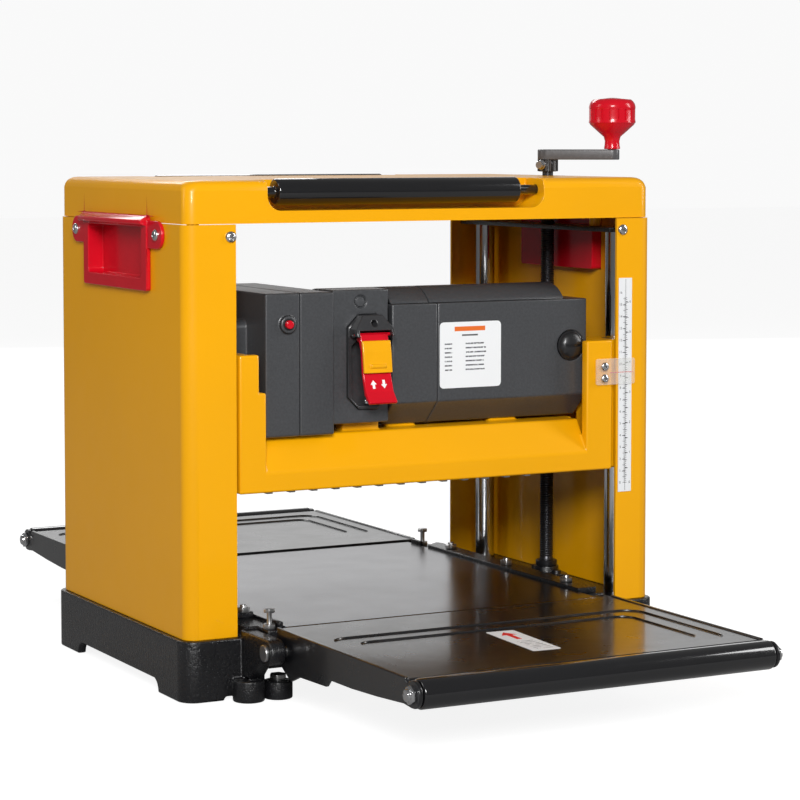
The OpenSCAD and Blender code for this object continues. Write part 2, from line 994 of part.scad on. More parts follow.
module armature() {
    color(STEEL) {
        rod_x([-180, 170.5], motor_y, motor_z, 6);
        rod_x([26, 94], motor_y, motor_z, 24);
        rod_x([132, 152], motor_y, motor_z, 14);
        for (a = [0:40:320])
            translate([0, motor_y, motor_z])
                rotate([a, 0, 0])
                    block([-8, 8], [-1, 1], [5, 34]);
        rod_x([-10, -7], motor_y, motor_z, 34);
    }
}

module motor_pulley() {
    color(STEEL)
    pulley(motor_y, motor_z, motor_pulley_r, 6);
}

module cutter_pulley() {
    color(STEEL)
    pulley(0, cut_axis_z, cutter_pulley_r, 8);
}

module pulley(y, z, r, bore) {
    difference() {
        union() {
            rod_x(belt_x, y, z, r);
            for (x = [belt_x[0] - 1.5, belt_x[1]])
                rod_x([x, x + 1.5], y, z, r + 1.5);
        }
        rod_x([belt_x[0] - 3, belt_x[1] + 3], y, z, bore);
    }
}

module drive_belt() {
    circles = [[motor_y, motor_z, motor_pulley_r], [0, cut_axis_z, cutter_pulley_r]];
    color(BLACK)
    along_x([belt_x[0] + 1, belt_x[1] - 1])
        difference() {
            hull_of(circles, belt_t);
            hull_of(circles, 0.15);
        }
}

module cutterhead() {
    color(STEEL)
    difference() {
        union() {
            rod_x([-wall_x[0] + 3, wall_x[0] - 3], 0, cut_axis_z, cut_r - 2);
            rod_x([-180, 166], 0, cut_axis_z, 8);
        }
        for (a = [0, 180])
            translate([0, 0, cut_axis_z])
                rotate([a, 0, 0])
                    block([-wall_x[0] + 2, wall_x[0] - 2], [-8, 4], [cut_r - 9, cut_r]);
    }
}

// Two knives, each with the wedge bar that clamps it
module cutter_knives() {
    color(CHROME)
    for (a = [0, 180])
        translate([0, 0, cut_axis_z])
            rotate([a, 0, 0]) {
                block([-wall_x[0] + 4, wall_x[0] - 4], [0, 4], [cut_r - 9, cut_r - 0.5]);
                block([-wall_x[0] + 4, wall_x[0] - 4], [-8, 0], [cut_r - 9, cut_r - 4]);
            }
}

// ---------------------------------------------------------------- feed

module feed_roller(y) {
    rod_x([-wall_x[0] + 3, wall_x[0] - 3], y, feed_z, feed_r);
    rod_x([-wall_x[1] - 2, sprocket_x[1] + 2], y, feed_z, 6);
    rod_x(sprocket_x, y, feed_z, feed_sprocket_r);
}

module infeed_feed_roller() {
    color(STEEL)
    feed_roller(-feed_y);
}

module outfeed_feed_roller() {
    color(BLACK)
    feed_roller(feed_y);
}

// Closed reduction gearbox between the cutter's right end and the feed chain
module feed_gearbox() {
    x = [wall_x[1], sprocket_x[0] - 4];
    color(CHARCOAL)
    difference() {
        along_x(x)
            rounded([-26, 26], [head_z, 236], 8);
        along_x([x[0] + 2.5, x[1] - 2.5])
            rounded([-23.5, 23.5], [head_z + 2.5, 233.5], 6);
        rod_x([x[0] - cut, x[0] + 4], 0, cut_axis_z, 8 + run_gap);
        rod_x([x[1] - 4, x[1] + cut], 0, drive_sprocket_z, 5 + run_gap);
    }
}

module gearbox_sprocket() {
    color(STEEL) {
        rod_x([sprocket_x[0] - 10, sprocket_x[1] + 1.5], 0, drive_sprocket_z, 5);
        rod_x(sprocket_x, 0, drive_sprocket_z, drive_sprocket_r);
    }
}

module feed_chain() {
    circles = [[-feed_y, feed_z, feed_sprocket_r], [feed_y, feed_z, feed_sprocket_r],
        [0, drive_sprocket_z, drive_sprocket_r]];
    color(STEEL)
    along_x([sprocket_x[0], sprocket_x[1]])
        difference() {
            hull_of(circles, feed_chain_t);
            hull_of(circles, 0.3);
        }
}

module pawl_rod() {
    color(STEEL)
    rod_x([-wall_x[0], wall_x[0]], pawl_y, pawl_z, pawl_rod_r);
}

// Toothed fingers that stop the board being thrown back
module kickback_pawls() {
    color(STEEL)
    for (i = [0:pawl_count - 1])
        along_x([(i - (pawl_count - 1) / 2) * pawl_pitch - 2.5, (i - (pawl_count - 1) / 2) * pawl_pitch + 2.5])
            difference() {
                union() {
                    translate([pawl_y, pawl_z])
                        circle(6);
                    polygon([[pawl_y - 6, pawl_z], [pawl_y + 6, pawl_z], [pawl_y + 3, cut_z - 0.3], [pawl_y - 4, cut_z - 0.3]]);
                }
                translate([pawl_y, pawl_z])
                    circle(pawl_rod_r + run_gap);
            }
}

// Sheet hood behind the cutter that turns the chips out to the rear
module chip_hood() {
    color(BLACK)
    along_x([-139.7, 139.7])
        polygon([[26, slope_top_z], [26, 232], [60, 252], [150, 230], [150, 227.5], [60, 249.3],
            [28.5, 230.5], [28.5, 204.5], [34, 204.5], [34, slope_top_z]]);
    color(BLACK)
    left_and_right()
        along_x([137.2, 139.7])
            polygon([[26, slope_top_z], [26, 232], [60, 252], [150, 230], [150, 206], [100, slope_top_z]]);
}

// ---------------------------------------------------------------- pointer, switch and button

module pointer_plate() {
    color([0.9, 0.9, 0.9, 0.5])
    difference() {
        along_y([-half_d - 2.6, -half_d - 1])
            rounded([157, 195], [231, 253], 2);
        for (z = [236.5, 246.5])
            rod_y([-half_d - 4, -half_d], 165, z, 2.2);
    }
}

module pointer_screws() {
    color(CHROME)
    for (z = [236.5, 246.5]) {
        rod_y([-half_d - 5, -half_d - 2.6], 165, z, 3.6);
        rod_y([-half_d - 2.6, -head_front], 165, z, 2);
        rod_y([-half_d - 1, -head_front], 165, z, 3.6);
    }
}

// Red paddle, hinged under the hood, that curls outwards at its lower end
module switch_paddle() {
    w = 12.5;
    gap = 0.3;
    color(RED)
    difference() {
        union() {
            along_x([switch_x - w, switch_x + w])
                polygon([[-131, 281], [-137, 281], [-140, 268], [-142, 250], [-147, 236], [-154, 228],
                    [-152, 226], [-144, 233], [-139, 249], [-137, 268], [-134, 275], [-131, 275]]);
            rod_x([switch_x - 16, switch_x + 16], paddle_pivot[0], paddle_pivot[1], 1.5);
        }
        block([switch_x - key_tongue_w - gap, switch_x + key_tongue_w + gap], [-150, -130],
            [key_tongue_z[0] - gap, key_tongue_z[1] + gap]);
    }
}

// Yellow lock-out key that slides out of the paddle
module safety_key() {
    w = 12.7;
    color(YELLOW) {
        along_x([switch_x - w, switch_x + w])
            polygon([[-138.6, 276], [-141, 276], [-142.9, 267], [-145, 250.5], [-142.4, 250.5], [-140.4, 268]]);
        block([switch_x - key_tongue_w, switch_x + key_tongue_w], [-141, -135], key_tongue_z);
        along_x([switch_x - 7, switch_x + 7])
            polygon([[-142, 257.5], [-145.8, 257.5], [-145.8, 254.5], [-142, 254.5]]);
    }
}

module reset_button() {
    color(RED)
    rod_y([-134, -121], reset_at[0], reset_at[1], reset_r);
}

// ---------------------------------------------------------------- extension tables

// Side flange: deep at the hinge, thinning to the end roller
module wing_flange_outline() {
    reach = end_roller_y;
    polygon([[-wing_inner_y, wing_top_z], [-wing_inner_y, 46], [-wing_inner_y - 4, 33], [-hinge_y, 28],
        [-197, 22.5], [-212, 28.5], [-258, 30], [-264, 36], [-300, 36.5], [-340, 38.5], [-reach + 14, 41.5],
        [-reach + 3, 40.5], [-reach, end_roller_z], [-reach + 12, wing_top_z]]);
    translate([-reach, end_roller_z])
        circle(10);
}

module wing() {
    panel = 2.4;
    difference() {
        union() {
            block([-wing_x, wing_x], [-wing_outer_y, -wing_inner_y], [wing_top_z - wing_t, wing_top_z]);
            block([-140, 140], [-368, -224], [wing_top_z - 5.5, wing_top_z - wing_t]);
            block([-wing_x, wing_x], [-wing_outer_y, -wing_outer_y + 2.5], [wing_top_z - 8, wing_top_z]);
            left_and_right() {
                along_x([wing_x - 3, wing_x])
                    wing_flange_outline();
                block([wing_x - 3, wing_x], [-wing_outer_y, -wing_inner_y], [wing_top_z - 1, wing_top_z + 1]);
            }
        }
        translate([0, 0, wing_top_z - panel / 2])
            linear_extrude(5)
                rounded([-137, 137], [-364, -228], 16);
        translate([0, 0, wing_top_z - panel])
            linear_extrude(5)
                rounded([-121, 121], [-348, -244], 12);
        left_and_right() {
            rod_x([wing_x - 4, wing_x + cut], -hinge_y, hinge_z, hinge_r + run_gap);
            rod_x([wing_x - 4, wing_x + cut], -end_roller_y, end_roller_z, 4 + seat_gap);
        }
    }
}

module end_roller() {
    difference() {
        rod_x([-wing_x + 4, wing_x - 4], -end_roller_y, end_roller_z, end_roller_r);
        rod_x([-wing_x, wing_x], -end_roller_y, end_roller_z, 4 + run_gap);
    }
}

// The through axle of an end roller with its two end nuts
module roller_axle() {
    rod_x([-wing_x, wing_x], -end_roller_y, end_roller_z, 4);
    left_and_right() {
        translate([wing_x, -end_roller_y, end_roller_z])
            rotate([0, 90, 0])
                cylinder(h = 4, r = 7, $fn = 6);
        rod_x([wing_x + 4, wing_x + 6], -end_roller_y, end_roller_z, 4.5);
    }
}

module infeed_table() {
    color(BLACK)
    wing();
}

module infeed_end_roller() {
    color(BLACK)
    end_roller();
}

module infeed_roller_bolts() {
    color(CHROME)
    roller_axle();
}

module outfeed_table() {
    color(BLACK)
    mirror([0, 1, 0])
        wing();
}

module outfeed_end_roller() {
    color(BLACK)
    mirror([0, 1, 0])
        end_roller();
}

module outfeed_roller_bolts() {
    color(CHROME)
    mirror([0, 1, 0])
        roller_axle();
}

// ---------------------------------------------------------------- return rollers on the top

module top_roller() {
    rod_x(top_roller_x, -top_roller_y, top_roller_z, top_roller_r);
    rod_x([recess_x[0] - 2.5, recess_x[1] + 2.5], -top_roller_y, top_roller_z, hinge_r);
}

module front_top_roller() {
    color(BLACK)
    top_roller();
}

module rear_top_roller() {
    color(BLACK)
    mirror([0, 1, 0])
        top_roller();
}

// ---------------------------------------------------------------- output

base_casting();
table_plate();
guide_strips();
table_bolts();
columns();
screw_flanges();
left_cover();
right_cover();
top_cover();
left_handle();
right_handle();
cover_screws();
top_plates();
scale_strip();
hinge_pins();
lift_chain();
right_screw();
left_screw();
crank_arm();
crank_knob();
head_casting();
lift_bushes();
belt_cover();
gear_cover();
switch_panel();
switch_bezel();
motor_cover();
motor_end_cover();
motor_barrel();
brush_caps();
stator();
head_bearings();
drive_belt();
pawl_rod();
chip_hood();
pointer_plate();
pointer_screws();
cable_gland();
feed_gearbox();
feed_chain();
armature();
motor_pulley();
cutterhead();
cutter_pulley();
cutter_knives();
infeed_feed_roller();
outfeed_feed_roller();
gearbox_sprocket();
kickback_pawls();
switch_paddle();
safety_key();
reset_button();
infeed_table();
infeed_end_roller();
infeed_roller_bolts();
outfeed_table();
outfeed_end_roller();
outfeed_roller_bolts();
front_top_roller();
rear_top_roller();
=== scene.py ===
"""Benchtop thickness planer: finishes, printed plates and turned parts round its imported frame."""

import json
import math

import bmesh
import bpy
from bpy.props import FloatProperty, FloatVectorProperty, IntProperty, PointerProperty
from bpy.types import Operator, Panel, PropertyGroup
from mathutils import Matrix, Vector

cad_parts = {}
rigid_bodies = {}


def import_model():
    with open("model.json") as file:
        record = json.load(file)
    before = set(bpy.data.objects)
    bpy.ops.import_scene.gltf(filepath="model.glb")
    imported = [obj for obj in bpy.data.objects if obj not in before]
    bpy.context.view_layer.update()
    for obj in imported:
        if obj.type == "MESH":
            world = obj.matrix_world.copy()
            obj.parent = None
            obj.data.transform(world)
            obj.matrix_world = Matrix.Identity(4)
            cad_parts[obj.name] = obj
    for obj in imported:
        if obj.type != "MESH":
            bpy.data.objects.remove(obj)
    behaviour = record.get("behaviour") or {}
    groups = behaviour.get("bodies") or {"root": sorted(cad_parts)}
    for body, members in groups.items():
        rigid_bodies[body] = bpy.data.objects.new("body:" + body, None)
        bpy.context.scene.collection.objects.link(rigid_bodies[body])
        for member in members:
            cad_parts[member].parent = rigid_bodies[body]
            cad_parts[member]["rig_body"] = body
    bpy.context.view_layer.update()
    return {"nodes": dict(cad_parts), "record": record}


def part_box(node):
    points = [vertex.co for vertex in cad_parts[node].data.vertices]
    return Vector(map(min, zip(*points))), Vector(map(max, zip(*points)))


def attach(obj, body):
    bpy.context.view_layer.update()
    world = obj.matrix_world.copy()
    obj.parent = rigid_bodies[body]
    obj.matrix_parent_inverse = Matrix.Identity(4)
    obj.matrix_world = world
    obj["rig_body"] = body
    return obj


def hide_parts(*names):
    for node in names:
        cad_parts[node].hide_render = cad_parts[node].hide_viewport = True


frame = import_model()
SLOT_OF = {part["node"]: part["material_slot"] for part in frame["record"]["subparts"]}
FINISHES = {}
MM = 0.001
X, Y, Z = Vector((1, 0, 0)), Vector((0, 1, 0)), Vector((0, 0, 1))

bl_info = {
    "name": "Thickness planer",
    "version": (1, 0, 0),
    "blender": (4, 5, 0),
    "location": "View3D > Sidebar > Planer",
    "description": "Builds the visible parts and finishes of a benchtop thickness planer",
    "category": "Object",
}


# ---------------------------------------------------------------- what a user may change


def colour(name, description, default):
    return FloatVectorProperty(
        name=name, description=description, subtype="COLOR", size=3, min=0, max=1, default=default
    )


class PlanerColours(PropertyGroup):
    """The machine's paints and plastics, as linear colours."""

    yellow: colour("Yellow paint", "Gloss coat of the covers and the cutter head", (0.88, 0.40, 0.001))
    red: colour("Red plastic", "Handles, crank knob and switch paddle", (0.62, 0.004, 0.016))
    charcoal: colour("Charcoal plastic", "Motor and belt housings", (0.052, 0.054, 0.058))
    black: colour("Black paint", "Base casting and folding tables", (0.006, 0.006, 0.007))
    print_red: colour("Red print", "Arrow of the feed sticker and the pointer's line", (0.75, 0.02, 0.02))


class PlanerSizes(PropertyGroup):
    """Sizes of the details that the frame leaves plain."""

    thread_pitch: FloatProperty(
        name="Thread pitch", description="Pitch of the lead screws",
        unit="LENGTH", default=2 * MM, min=1 * MM
    )
    thread_depth: FloatProperty(
        name="Thread depth", description="Depth of the lead screws' thread",
        unit="LENGTH", default=0.7 * MM
    )
    knob_flutes: IntProperty(
        name="Knob grooves", description="Grip grooves round the crank knob", default=18, min=6, max=36
    )
    seam_width: FloatProperty(
        name="Seam width", description="Gap shown between two mouldings",
        unit="LENGTH", default=0.7 * MM
    )
    dial_step: FloatProperty(
        name="Scale step", description="Distance between numbered scale marks",
        unit="LENGTH", default=10 * MM
    )


# ---------------------------------------------------------------- shader nodes


class Value:
    """A shader socket with arithmetic: each operator adds one Math node to its finish."""

    def __init__(self, finish, socket):
        self.finish = finish
        self.socket = socket

    def math(self, operation, *values):
        return self.finish.node("ShaderNodeMath", {"operation": operation}, dict(enumerate(values)))

    def __add__(self, other):
        return self.math("ADD", self, other)

    def __sub__(self, other):
        return self.math("SUBTRACT", self, other)

    def __rsub__(self, other):
        return self.math("SUBTRACT", other, self)

    def __mul__(self, other):
        return self.math("MULTIPLY", self, other)

    def __truediv__(self, other):
        return self.math("DIVIDE", self, other)

    def __gt__(self, other):
        return self.math("GREATER_THAN", self, other)

    def __lt__(self, other):
        return self.math("LESS_THAN", self, other)

    __radd__ = __add__
    __rmul__ = __mul__

    def fraction(self):
        return self.math("FRACT", self)

    def between(self, low, high):
        return (self > low) * (self < high)

    def either(self, other):
        return self.math("MAXIMUM", self, other)


class Finish:
    """One material: a Principled shader and the nodes that feed it."""

    def __init__(self, name, base, **settings):
        self.material = bpy.data.materials.new(name)
        self.material.use_nodes = True
        self.tree = self.material.node_tree
        self.shader = self.tree.nodes["Principled BSDF"]
        self.base = (*base, 1)
        self.feed("Base Color", self.base)
        for key, value in settings.items():
            self.feed(key.replace("_", " ").title().replace("Ior", "IOR"), value)
        FINISHES[name] = self.material

    def join(self, socket, value):
        if isinstance(value, Value):
            self.tree.links.new(value.socket, socket)
        else:
            socket.default_value = value

    def feed(self, name, value):
        self.join(self.shader.inputs[name], value)

    def node(self, kind, settings=None, inputs=None, output=0):
        """Adds a node: its settings first, then the values or links of its sockets."""
        made = self.tree.nodes.new(kind)
        for key, value in (settings or {}).items():
            setattr(made, key, value)
        for key, value in (inputs or {}).items():
            self.join(made.inputs[key], value)
        return Value(self, made.outputs[output])

    def place(self, stretch=(1, 1, 1)):
        at = self.node("ShaderNodeTexCoord", output="Object")
        return self.node("ShaderNodeMapping", inputs={"Vector": at, "Scale": stretch})

    def axes(self):
        """The three object coordinates, in metres."""
        at = self.node("ShaderNodeTexCoord", output="Object")
        return [self.node("ShaderNodeSeparateXYZ", inputs={"Vector": at}, output=i) for i in range(3)]

    def noise(self, scale, detail=2.0, roughness=0.5, stretch=(1, 1, 1)):
        values = {"Vector": self.place(stretch), "Scale": scale, "Detail": detail, "Roughness": roughness}
        return self.node("ShaderNodeTexNoise", inputs=values)

    def cells(self, scale):
        return self.node("ShaderNodeTexVoronoi", inputs={"Vector": self.place(), "Scale": scale})

    def blend(self, share, first, second):
        """A colour between two, by a value from 0 to 1."""
        pick = {"data_type": "RGBA"}
        return self.node("ShaderNodeMix", pick, {0: share, 6: first, 7: second}, output=2)

    def shade(self, factor):
        """The base colour, made lighter or darker."""
        return tuple(min(1.0, c * factor) for c in self.base[:3]) + (1,)

    def mottle(self, scale, low, high, **noise):
        """Slow, faint changes in the base colour."""
        self.feed("Base Color", self.blend(self.noise(scale, **noise), self.shade(low), self.shade(high)))

    def vary_roughness(self, scale, low, high, **noise):
        self.feed("Roughness", self.noise(scale, **noise) * (high - low) + low)

    def bump(self, height, strength, distance):
        values = {"Height": height, "Strength": strength, "Distance": distance}
        self.feed("Normal", self.node("ShaderNodeBump", inputs=values))


def gloss_paint(name, base, peel, roughness=0.36):
    """Sprayed gloss with orange peel."""
    made = Finish(name, base, coat_weight=0.22, coat_roughness=0.08, specular_ior_level=0.22)
    made.mottle(9, 0.95, 1.04)
    made.vary_roughness(60, roughness - 0.04, roughness + 0.05, detail=3)
    made.bump(made.noise(peel, detail=1), 0.035, 0.4 * MM)


def rough_casting(name, base, grain):
    """Paint over a sand casting: the grain shows through as small bright points."""
    made = Finish(name, base, coat_weight=0.3, coat_roughness=0.15, specular_ior_level=0.4)
    made.mottle(40, 0.7, 1.6, detail=4)
    made.vary_roughness(grain, 0.18, 0.42, detail=4)
    made.bump(made.noise(grain, detail=5, roughness=0.62), 0.75, 0.9 * MM)


def spark_plastic(name, base, grain, roughness=0.36, strength=0.5):
    """Moulded plastic with a fine spark-eroded texture."""
    made = Finish(name, base, specular_ior_level=0.5, coat_weight=0.25, coat_roughness=0.2)
    made.mottle(grain * 0.6, 0.7, 1.4, detail=3)
    made.vary_roughness(25, roughness - 0.06, roughness + 0.06, detail=2)
    made.bump(made.noise(grain, detail=3, roughness=0.7), strength, 0.25 * MM)


def gloss_plastic(name, base, roughness=0.2, coat=0.15):
    """Polished moulding with faint flow waves."""
    made = Finish(name, base, coat_weight=coat, coat_roughness=0.06, specular_ior_level=0.35)
    made.mottle(30, 0.9, 1.08, detail=2)
    made.vary_roughness(120, roughness - 0.05, roughness + 0.07, detail=3)
    made.bump(made.noise(45, detail=1), 0.05, 0.5 * MM)


def drawn_metal(name, base, along, roughness=0.25, metallic=1.0, grain=700, strength=0.06):
    """Metal with fine machining lines along one axis."""
    stretch = tuple(0.012 if axis == along else 1.0 for axis in "XYZ")
    made = Finish(name, base, metallic=metallic)
    made.mottle(grain, 0.86, 1.1, detail=3, stretch=stretch)
    made.vary_roughness(grain * 0.7, roughness - 0.07, roughness + 0.09, detail=4, stretch=stretch)
    made.bump(made.noise(grain, detail=2, stretch=stretch), strength, 0.1 * MM)


def ground_steel(name, base):
    """A ground and waxed machine table, even and without a grain direction."""
    made = Finish(name, base, metallic=1.0)
    made.mottle(14, 0.95, 1.05, detail=4)
    made.vary_roughness(30, 0.2, 0.27, detail=5)
    made.bump(made.noise(1800, detail=2), 0.02, 0.1 * MM)


def sheet_metal_black(name, base):
    """Satin black sheet with a fine powder grain."""
    made = Finish(name, base, coat_weight=0.55, coat_roughness=0.1)
    made.mottle(16, 0.8, 1.35, detail=4)
    made.vary_roughness(35, 0.22, 0.36, detail=4)
    made.bump(made.noise(900, detail=2), 0.12, 0.2 * MM)


def matt_rubber(name, base):
    """Dull rubber with a coarse skin."""
    made = Finish(name, base, specular_ior_level=0.3)
    made.mottle(80, 0.7, 1.5, detail=4)
    made.vary_roughness(60, 0.6, 0.8)
    made.bump(made.noise(500, detail=4), 0.3, 0.4 * MM)


def clear_sheet(name):
    """Acrylic, thin enough to see through, with a little wear in its gloss."""
    made = Finish(name, (0.9, 0.9, 0.86), specular_ior_level=0.6)
    made.vary_roughness(60, 0.04, 0.14, detail=4)
    made.feed("Alpha", made.noise(25, detail=3) * 0.1 + 0.14)


INK = (0.03, 0.03, 0.035, 1)


def printed_scale(name, low, high, zero):
    """White tape with a middle line: millimetre ticks on its left, sixteenths of an inch on its right."""
    made = Finish(name, (0.82, 0.83, 0.84), roughness=0.35)
    x, _, z = made.axes()
    middle = low.x + 0.52 * (high.x - low.x)
    used = z.between(zero - 0.2 * MM, high.z - 16 * MM)

    def ticks(period, length, side):
        """Lines once a period: the finest take a share of it, the others have a width."""
        away = (z - zero) / period + 0.06
        ends = (middle - length, middle) if side < 0 else (middle, middle + length)
        share = 0.22 if period < 2 * MM else 0.35 * MM / period
        return (away.fraction() < share) * x.between(*ends)

    marks = ticks(1 * MM, 1.6 * MM, -1)
    longer = [(5, 2.3, -1), (10, 3.0, -1), (1.5875, 1.4, 1), (6.35, 2.2, 1), (12.7, 3.0, 1)]
    for period, length, side in longer:
        marks = marks.either(ticks(period * MM, length * MM, side))
    spine = x.between(middle - 0.18 * MM, middle + 0.18 * MM) * z.between(low.z + 1 * MM, high.z - 1 * MM)
    made.feed("Base Color", made.blend((marks * used).either(spine), made.base, INK))
    made.vary_roughness(90, 0.28, 0.42)


def printed_label(name, low, high, rows):
    """A plain data plate: rows of grey bars that stand for words, and one orange bar at the top."""
    made = Finish(name, (0.86, 0.87, 0.88), roughness=0.4)
    x, _, z = made.axes()
    width, height = high.x - low.x, high.z - low.z
    across = (x - low.x) / width
    down = (high.z - z) / height
    row = (down - 0.30) * (rows / 0.46)
    in_row = row.fraction().between(0.3, 0.62) * down.between(0.30, 0.76)
    ragged = made.noise(90, detail=0, stretch=(0.01, 0.01, 1)) * 0.22
    words = across.between(0.08, 0.2).either((across > 0.42) * (across < 0.62 + ragged))
    broken = made.noise(1500, detail=1, stretch=(1, 0.01, 0.25)) > 0.4
    grey = made.blend(in_row * words * broken, made.base, (0.08, 0.08, 0.09, 1))
    heading = across.between(0.24, 0.74) * down.between(0.07, 0.14)
    under = across.between(0.36, 0.62) * down.between(0.19, 0.215)
    both = made.blend(under, made.blend(heading, grey, (0.8, 0.16, 0.02, 1)), (0.1, 0.1, 0.1, 1))
    made.feed("Base Color", both)
    made.vary_roughness(70, 0.32, 0.46)


def printed_sticker(name, low, high):
    """White feed sticker: grey bars that stand for words on its outer half."""
    made = Finish(name, (0.84, 0.84, 0.84), roughness=0.4)
    x, y, _ = made.axes()
    along = (y - low.y) / (high.y - low.y)
    across = (x - low.x) / (high.x - low.x)
    bars = (along * 16).fraction().between(0.3, 0.6) * along.between(0.08, 0.5) * across.between(0.2, 0.8)
    broken = made.noise(900, detail=1, stretch=(0.3, 1, 1)) > 0.45
    made.feed("Base Color", made.blend(bars * broken, made.base, (0.25, 0.25, 0.27, 1)))
    made.vary_roughness(80, 0.35, 0.5)


def plain_print(name, base):
    """Printing ink."""
    made = Finish(name, base, roughness=0.45)
    made.mottle(200, 0.9, 1.1)


def link_chain(name):
    """Oiled steel chain, its plates drawn as a regular bump along the run."""
    made = Finish(name, (0.3, 0.29, 0.28), metallic=1.0)
    made.mottle(160, 0.5, 1.3, detail=4)
    made.vary_roughness(120, 0.3, 0.5)
    made.bump(made.cells(160), 0.5, 1 * MM)


# ---------------------------------------------------------------- meshes

FLAT_BEND = 0.5
FLAT_WIDTH = 8 * MM


def mm(*values):
    return [value * MM for value in values]


def in_mm(*points):
    """Profile points given in millimetres."""
    return [(radius * MM, height * MM) for radius, height in points]


def piece(name, bm, body, finish, slot, smooth=32, replaces=()):
    """A bmesh as a finished piece on its CAD body, smooth up to an angle or as its faces say."""
    mesh = bpy.data.meshes.new(name)
    bm.to_mesh(mesh)
    bm.free()
    if "custom_normal" in mesh.attributes:
        mesh.attributes.remove(mesh.attributes["custom_normal"])
    mesh.materials.clear()
    mesh.materials.append(FINISHES[finish])
    mesh.polygons.foreach_set("material_index", [0] * len(mesh.polygons))
    if smooth is not None:
        mesh.polygons.foreach_set("use_smooth", [True] * len(mesh.polygons))
        mesh.set_sharp_from_angle(angle=math.radians(smooth))
    made = bpy.data.objects.new(name, mesh)
    bpy.context.scene.collection.objects.link(made)
    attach(made, body)
    if replaces:
        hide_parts(*replaces)
    return made


def from_node(node):
    """A bmesh copy of a CAD node, its loose triangles joined and its flat faces cut afresh."""
    bm = bmesh.new()
    bm.from_mesh(frame["nodes"][node].data)
    bmesh.ops.remove_doubles(bm, verts=bm.verts, dist=0.01 * MM)
    bmesh.ops.dissolve_limit(bm, angle_limit=math.radians(0.4), verts=bm.verts, edges=bm.edges)
    bmesh.ops.triangulate(bm, faces=[face for face in bm.faces if len(face.verts) > 4])
    return bm


def flat_regions(bm, bends):
    """The faces of each flat region, found by crossing edges that hardly bend."""
    left = set(bm.faces)
    while left:
        region, waiting = [], [left.pop()]
        while waiting:
            face = waiting.pop()
            region.append(face)
            for edge in face.edges:
                for other in edge.link_faces if bends[edge] < FLAT_BEND else ():
                    if other in left:
                        left.remove(other)
                        waiting.append(other)
        yield region


def everywhere(point):
    return True


def bends_of(bm):
    """The angle in degrees at which the faces of each edge meet."""
    return {e: math.degrees(e.calc_face_angle(0)) if e.is_manifold else 90 for e in bm.edges}


def round_edges(bm, width, segments, angle, where):
    """Rounds the edges whose faces meet at more than an angle. Wide flat regions stay flat in shading."""
    bends = bends_of(bm)
    bent = [edge for edge in bm.edges if edge.is_manifold and bends[edge] > angle]
    sharp = [edge for edge in bent if all(where(vert.co) for vert in edge.verts)]
    bmesh.ops.bevel(
        bm, geom=sharp, offset=width, affect="EDGES", segments=segments, profile=0.5, material=-1
    )
    bm.normal_update()
    bends = bends_of(bm)
    for edge in bm.edges:
        edge.smooth = bends[edge] < angle
    for region in flat_regions(bm, bends):
        longest = max(edge.calc_length() for face in region for edge in face.edges)
        curved = sum(face.calc_area() for face in region) / longest < FLAT_WIDTH
        for face in region:
            face.smooth = curved


def dress(node, width, segments=2, angle=38, finish=None, shape=None, where=everywhere):
    """A CAD node with its edges rounded, in its own finish. It stands for the node."""
    bm = from_node(node)
    if shape:
        shape(bm)
    round_edges(bm, width * MM, segments, angle, where)
    slot = SLOT_OF[node]
    body = frame["nodes"][node]["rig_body"]
    return piece(f"{node}_finished", bm, body, finish or slot, slot, smooth=None, replaces=[node])


def paint(*nodes, finish=None):
    """Gives CAD nodes that stay as they are a finish, or else the one of their slot."""
    for node in nodes:
        for slot in frame["nodes"][node].material_slots:
            slot.material = FINISHES[finish or SLOT_OF[node]]


def turn(profile, steps, axis=Z, centre=(0, 0, 0)):
    """A solid of revolution from (radius, height) points, stood along an axis at a centre."""
    bm = bmesh.new()
    line = [bm.verts.new((r, 0, h)) for r, h in profile]
    edges = [bm.edges.new(pair) for pair in zip(line, line[1:])]
    bmesh.ops.spin(
        bm, geom=line + edges, axis=Z, cent=(0, 0, 0), angle=math.tau, steps=steps, use_merge=True
    )
    bmesh.ops.remove_doubles(bm, verts=bm.verts, dist=0.004 * MM)
    bmesh.ops.recalc_face_normals(bm, faces=bm.faces)
    bmesh.ops.transform(bm, matrix=Z.rotation_difference(Vector(axis)).to_matrix().to_4x4(), verts=bm.verts)
    bmesh.ops.translate(bm, vec=centre, verts=bm.verts)
    return bm


def arc(centre, radius, start, end, steps):
    """Points of an arc in a (radius, height) profile, angles in degrees."""
    angles = [math.radians(start + (end - start) * i / steps) for i in range(steps + 1)]
    return [(centre[0] + radius * math.cos(a), centre[1] + radius * math.sin(a)) for a in angles]


def extrude(bm, faces, direction):
    made = bmesh.ops.extrude_face_region(bm, geom=faces)
    moved = [v for v in made["geom"] if isinstance(v, bmesh.types.BMVert)]
    bmesh.ops.translate(bm, vec=direction, verts=moved)
    bmesh.ops.recalc_face_normals(bm, faces=bm.faces)


def prism(outline, direction):
    """A closed outline of 3-D points, drawn out along a direction."""
    bm = bmesh.new()
    face = bm.faces.new([bm.verts.new(p) for p in outline])
    extrude(bm, [face], direction)
    return bm


def sink(bm, faces, depth):
    """Sinks faces into the surface, or raises them, with upright walls."""
    bmesh.ops.inset_region(bm, faces=faces, thickness=0.02 * MM, depth=depth, use_even_offset=True)


def cut_planes(bm, cuts):
    """Splits the mesh's faces along planes, given as (point, normal)."""
    for point, normal in cuts:
        geom = bm.verts[:] + bm.edges[:] + bm.faces[:]
        bmesh.ops.bisect_plane(bm, geom=geom, dist=1e-6, plane_co=point, plane_no=normal)


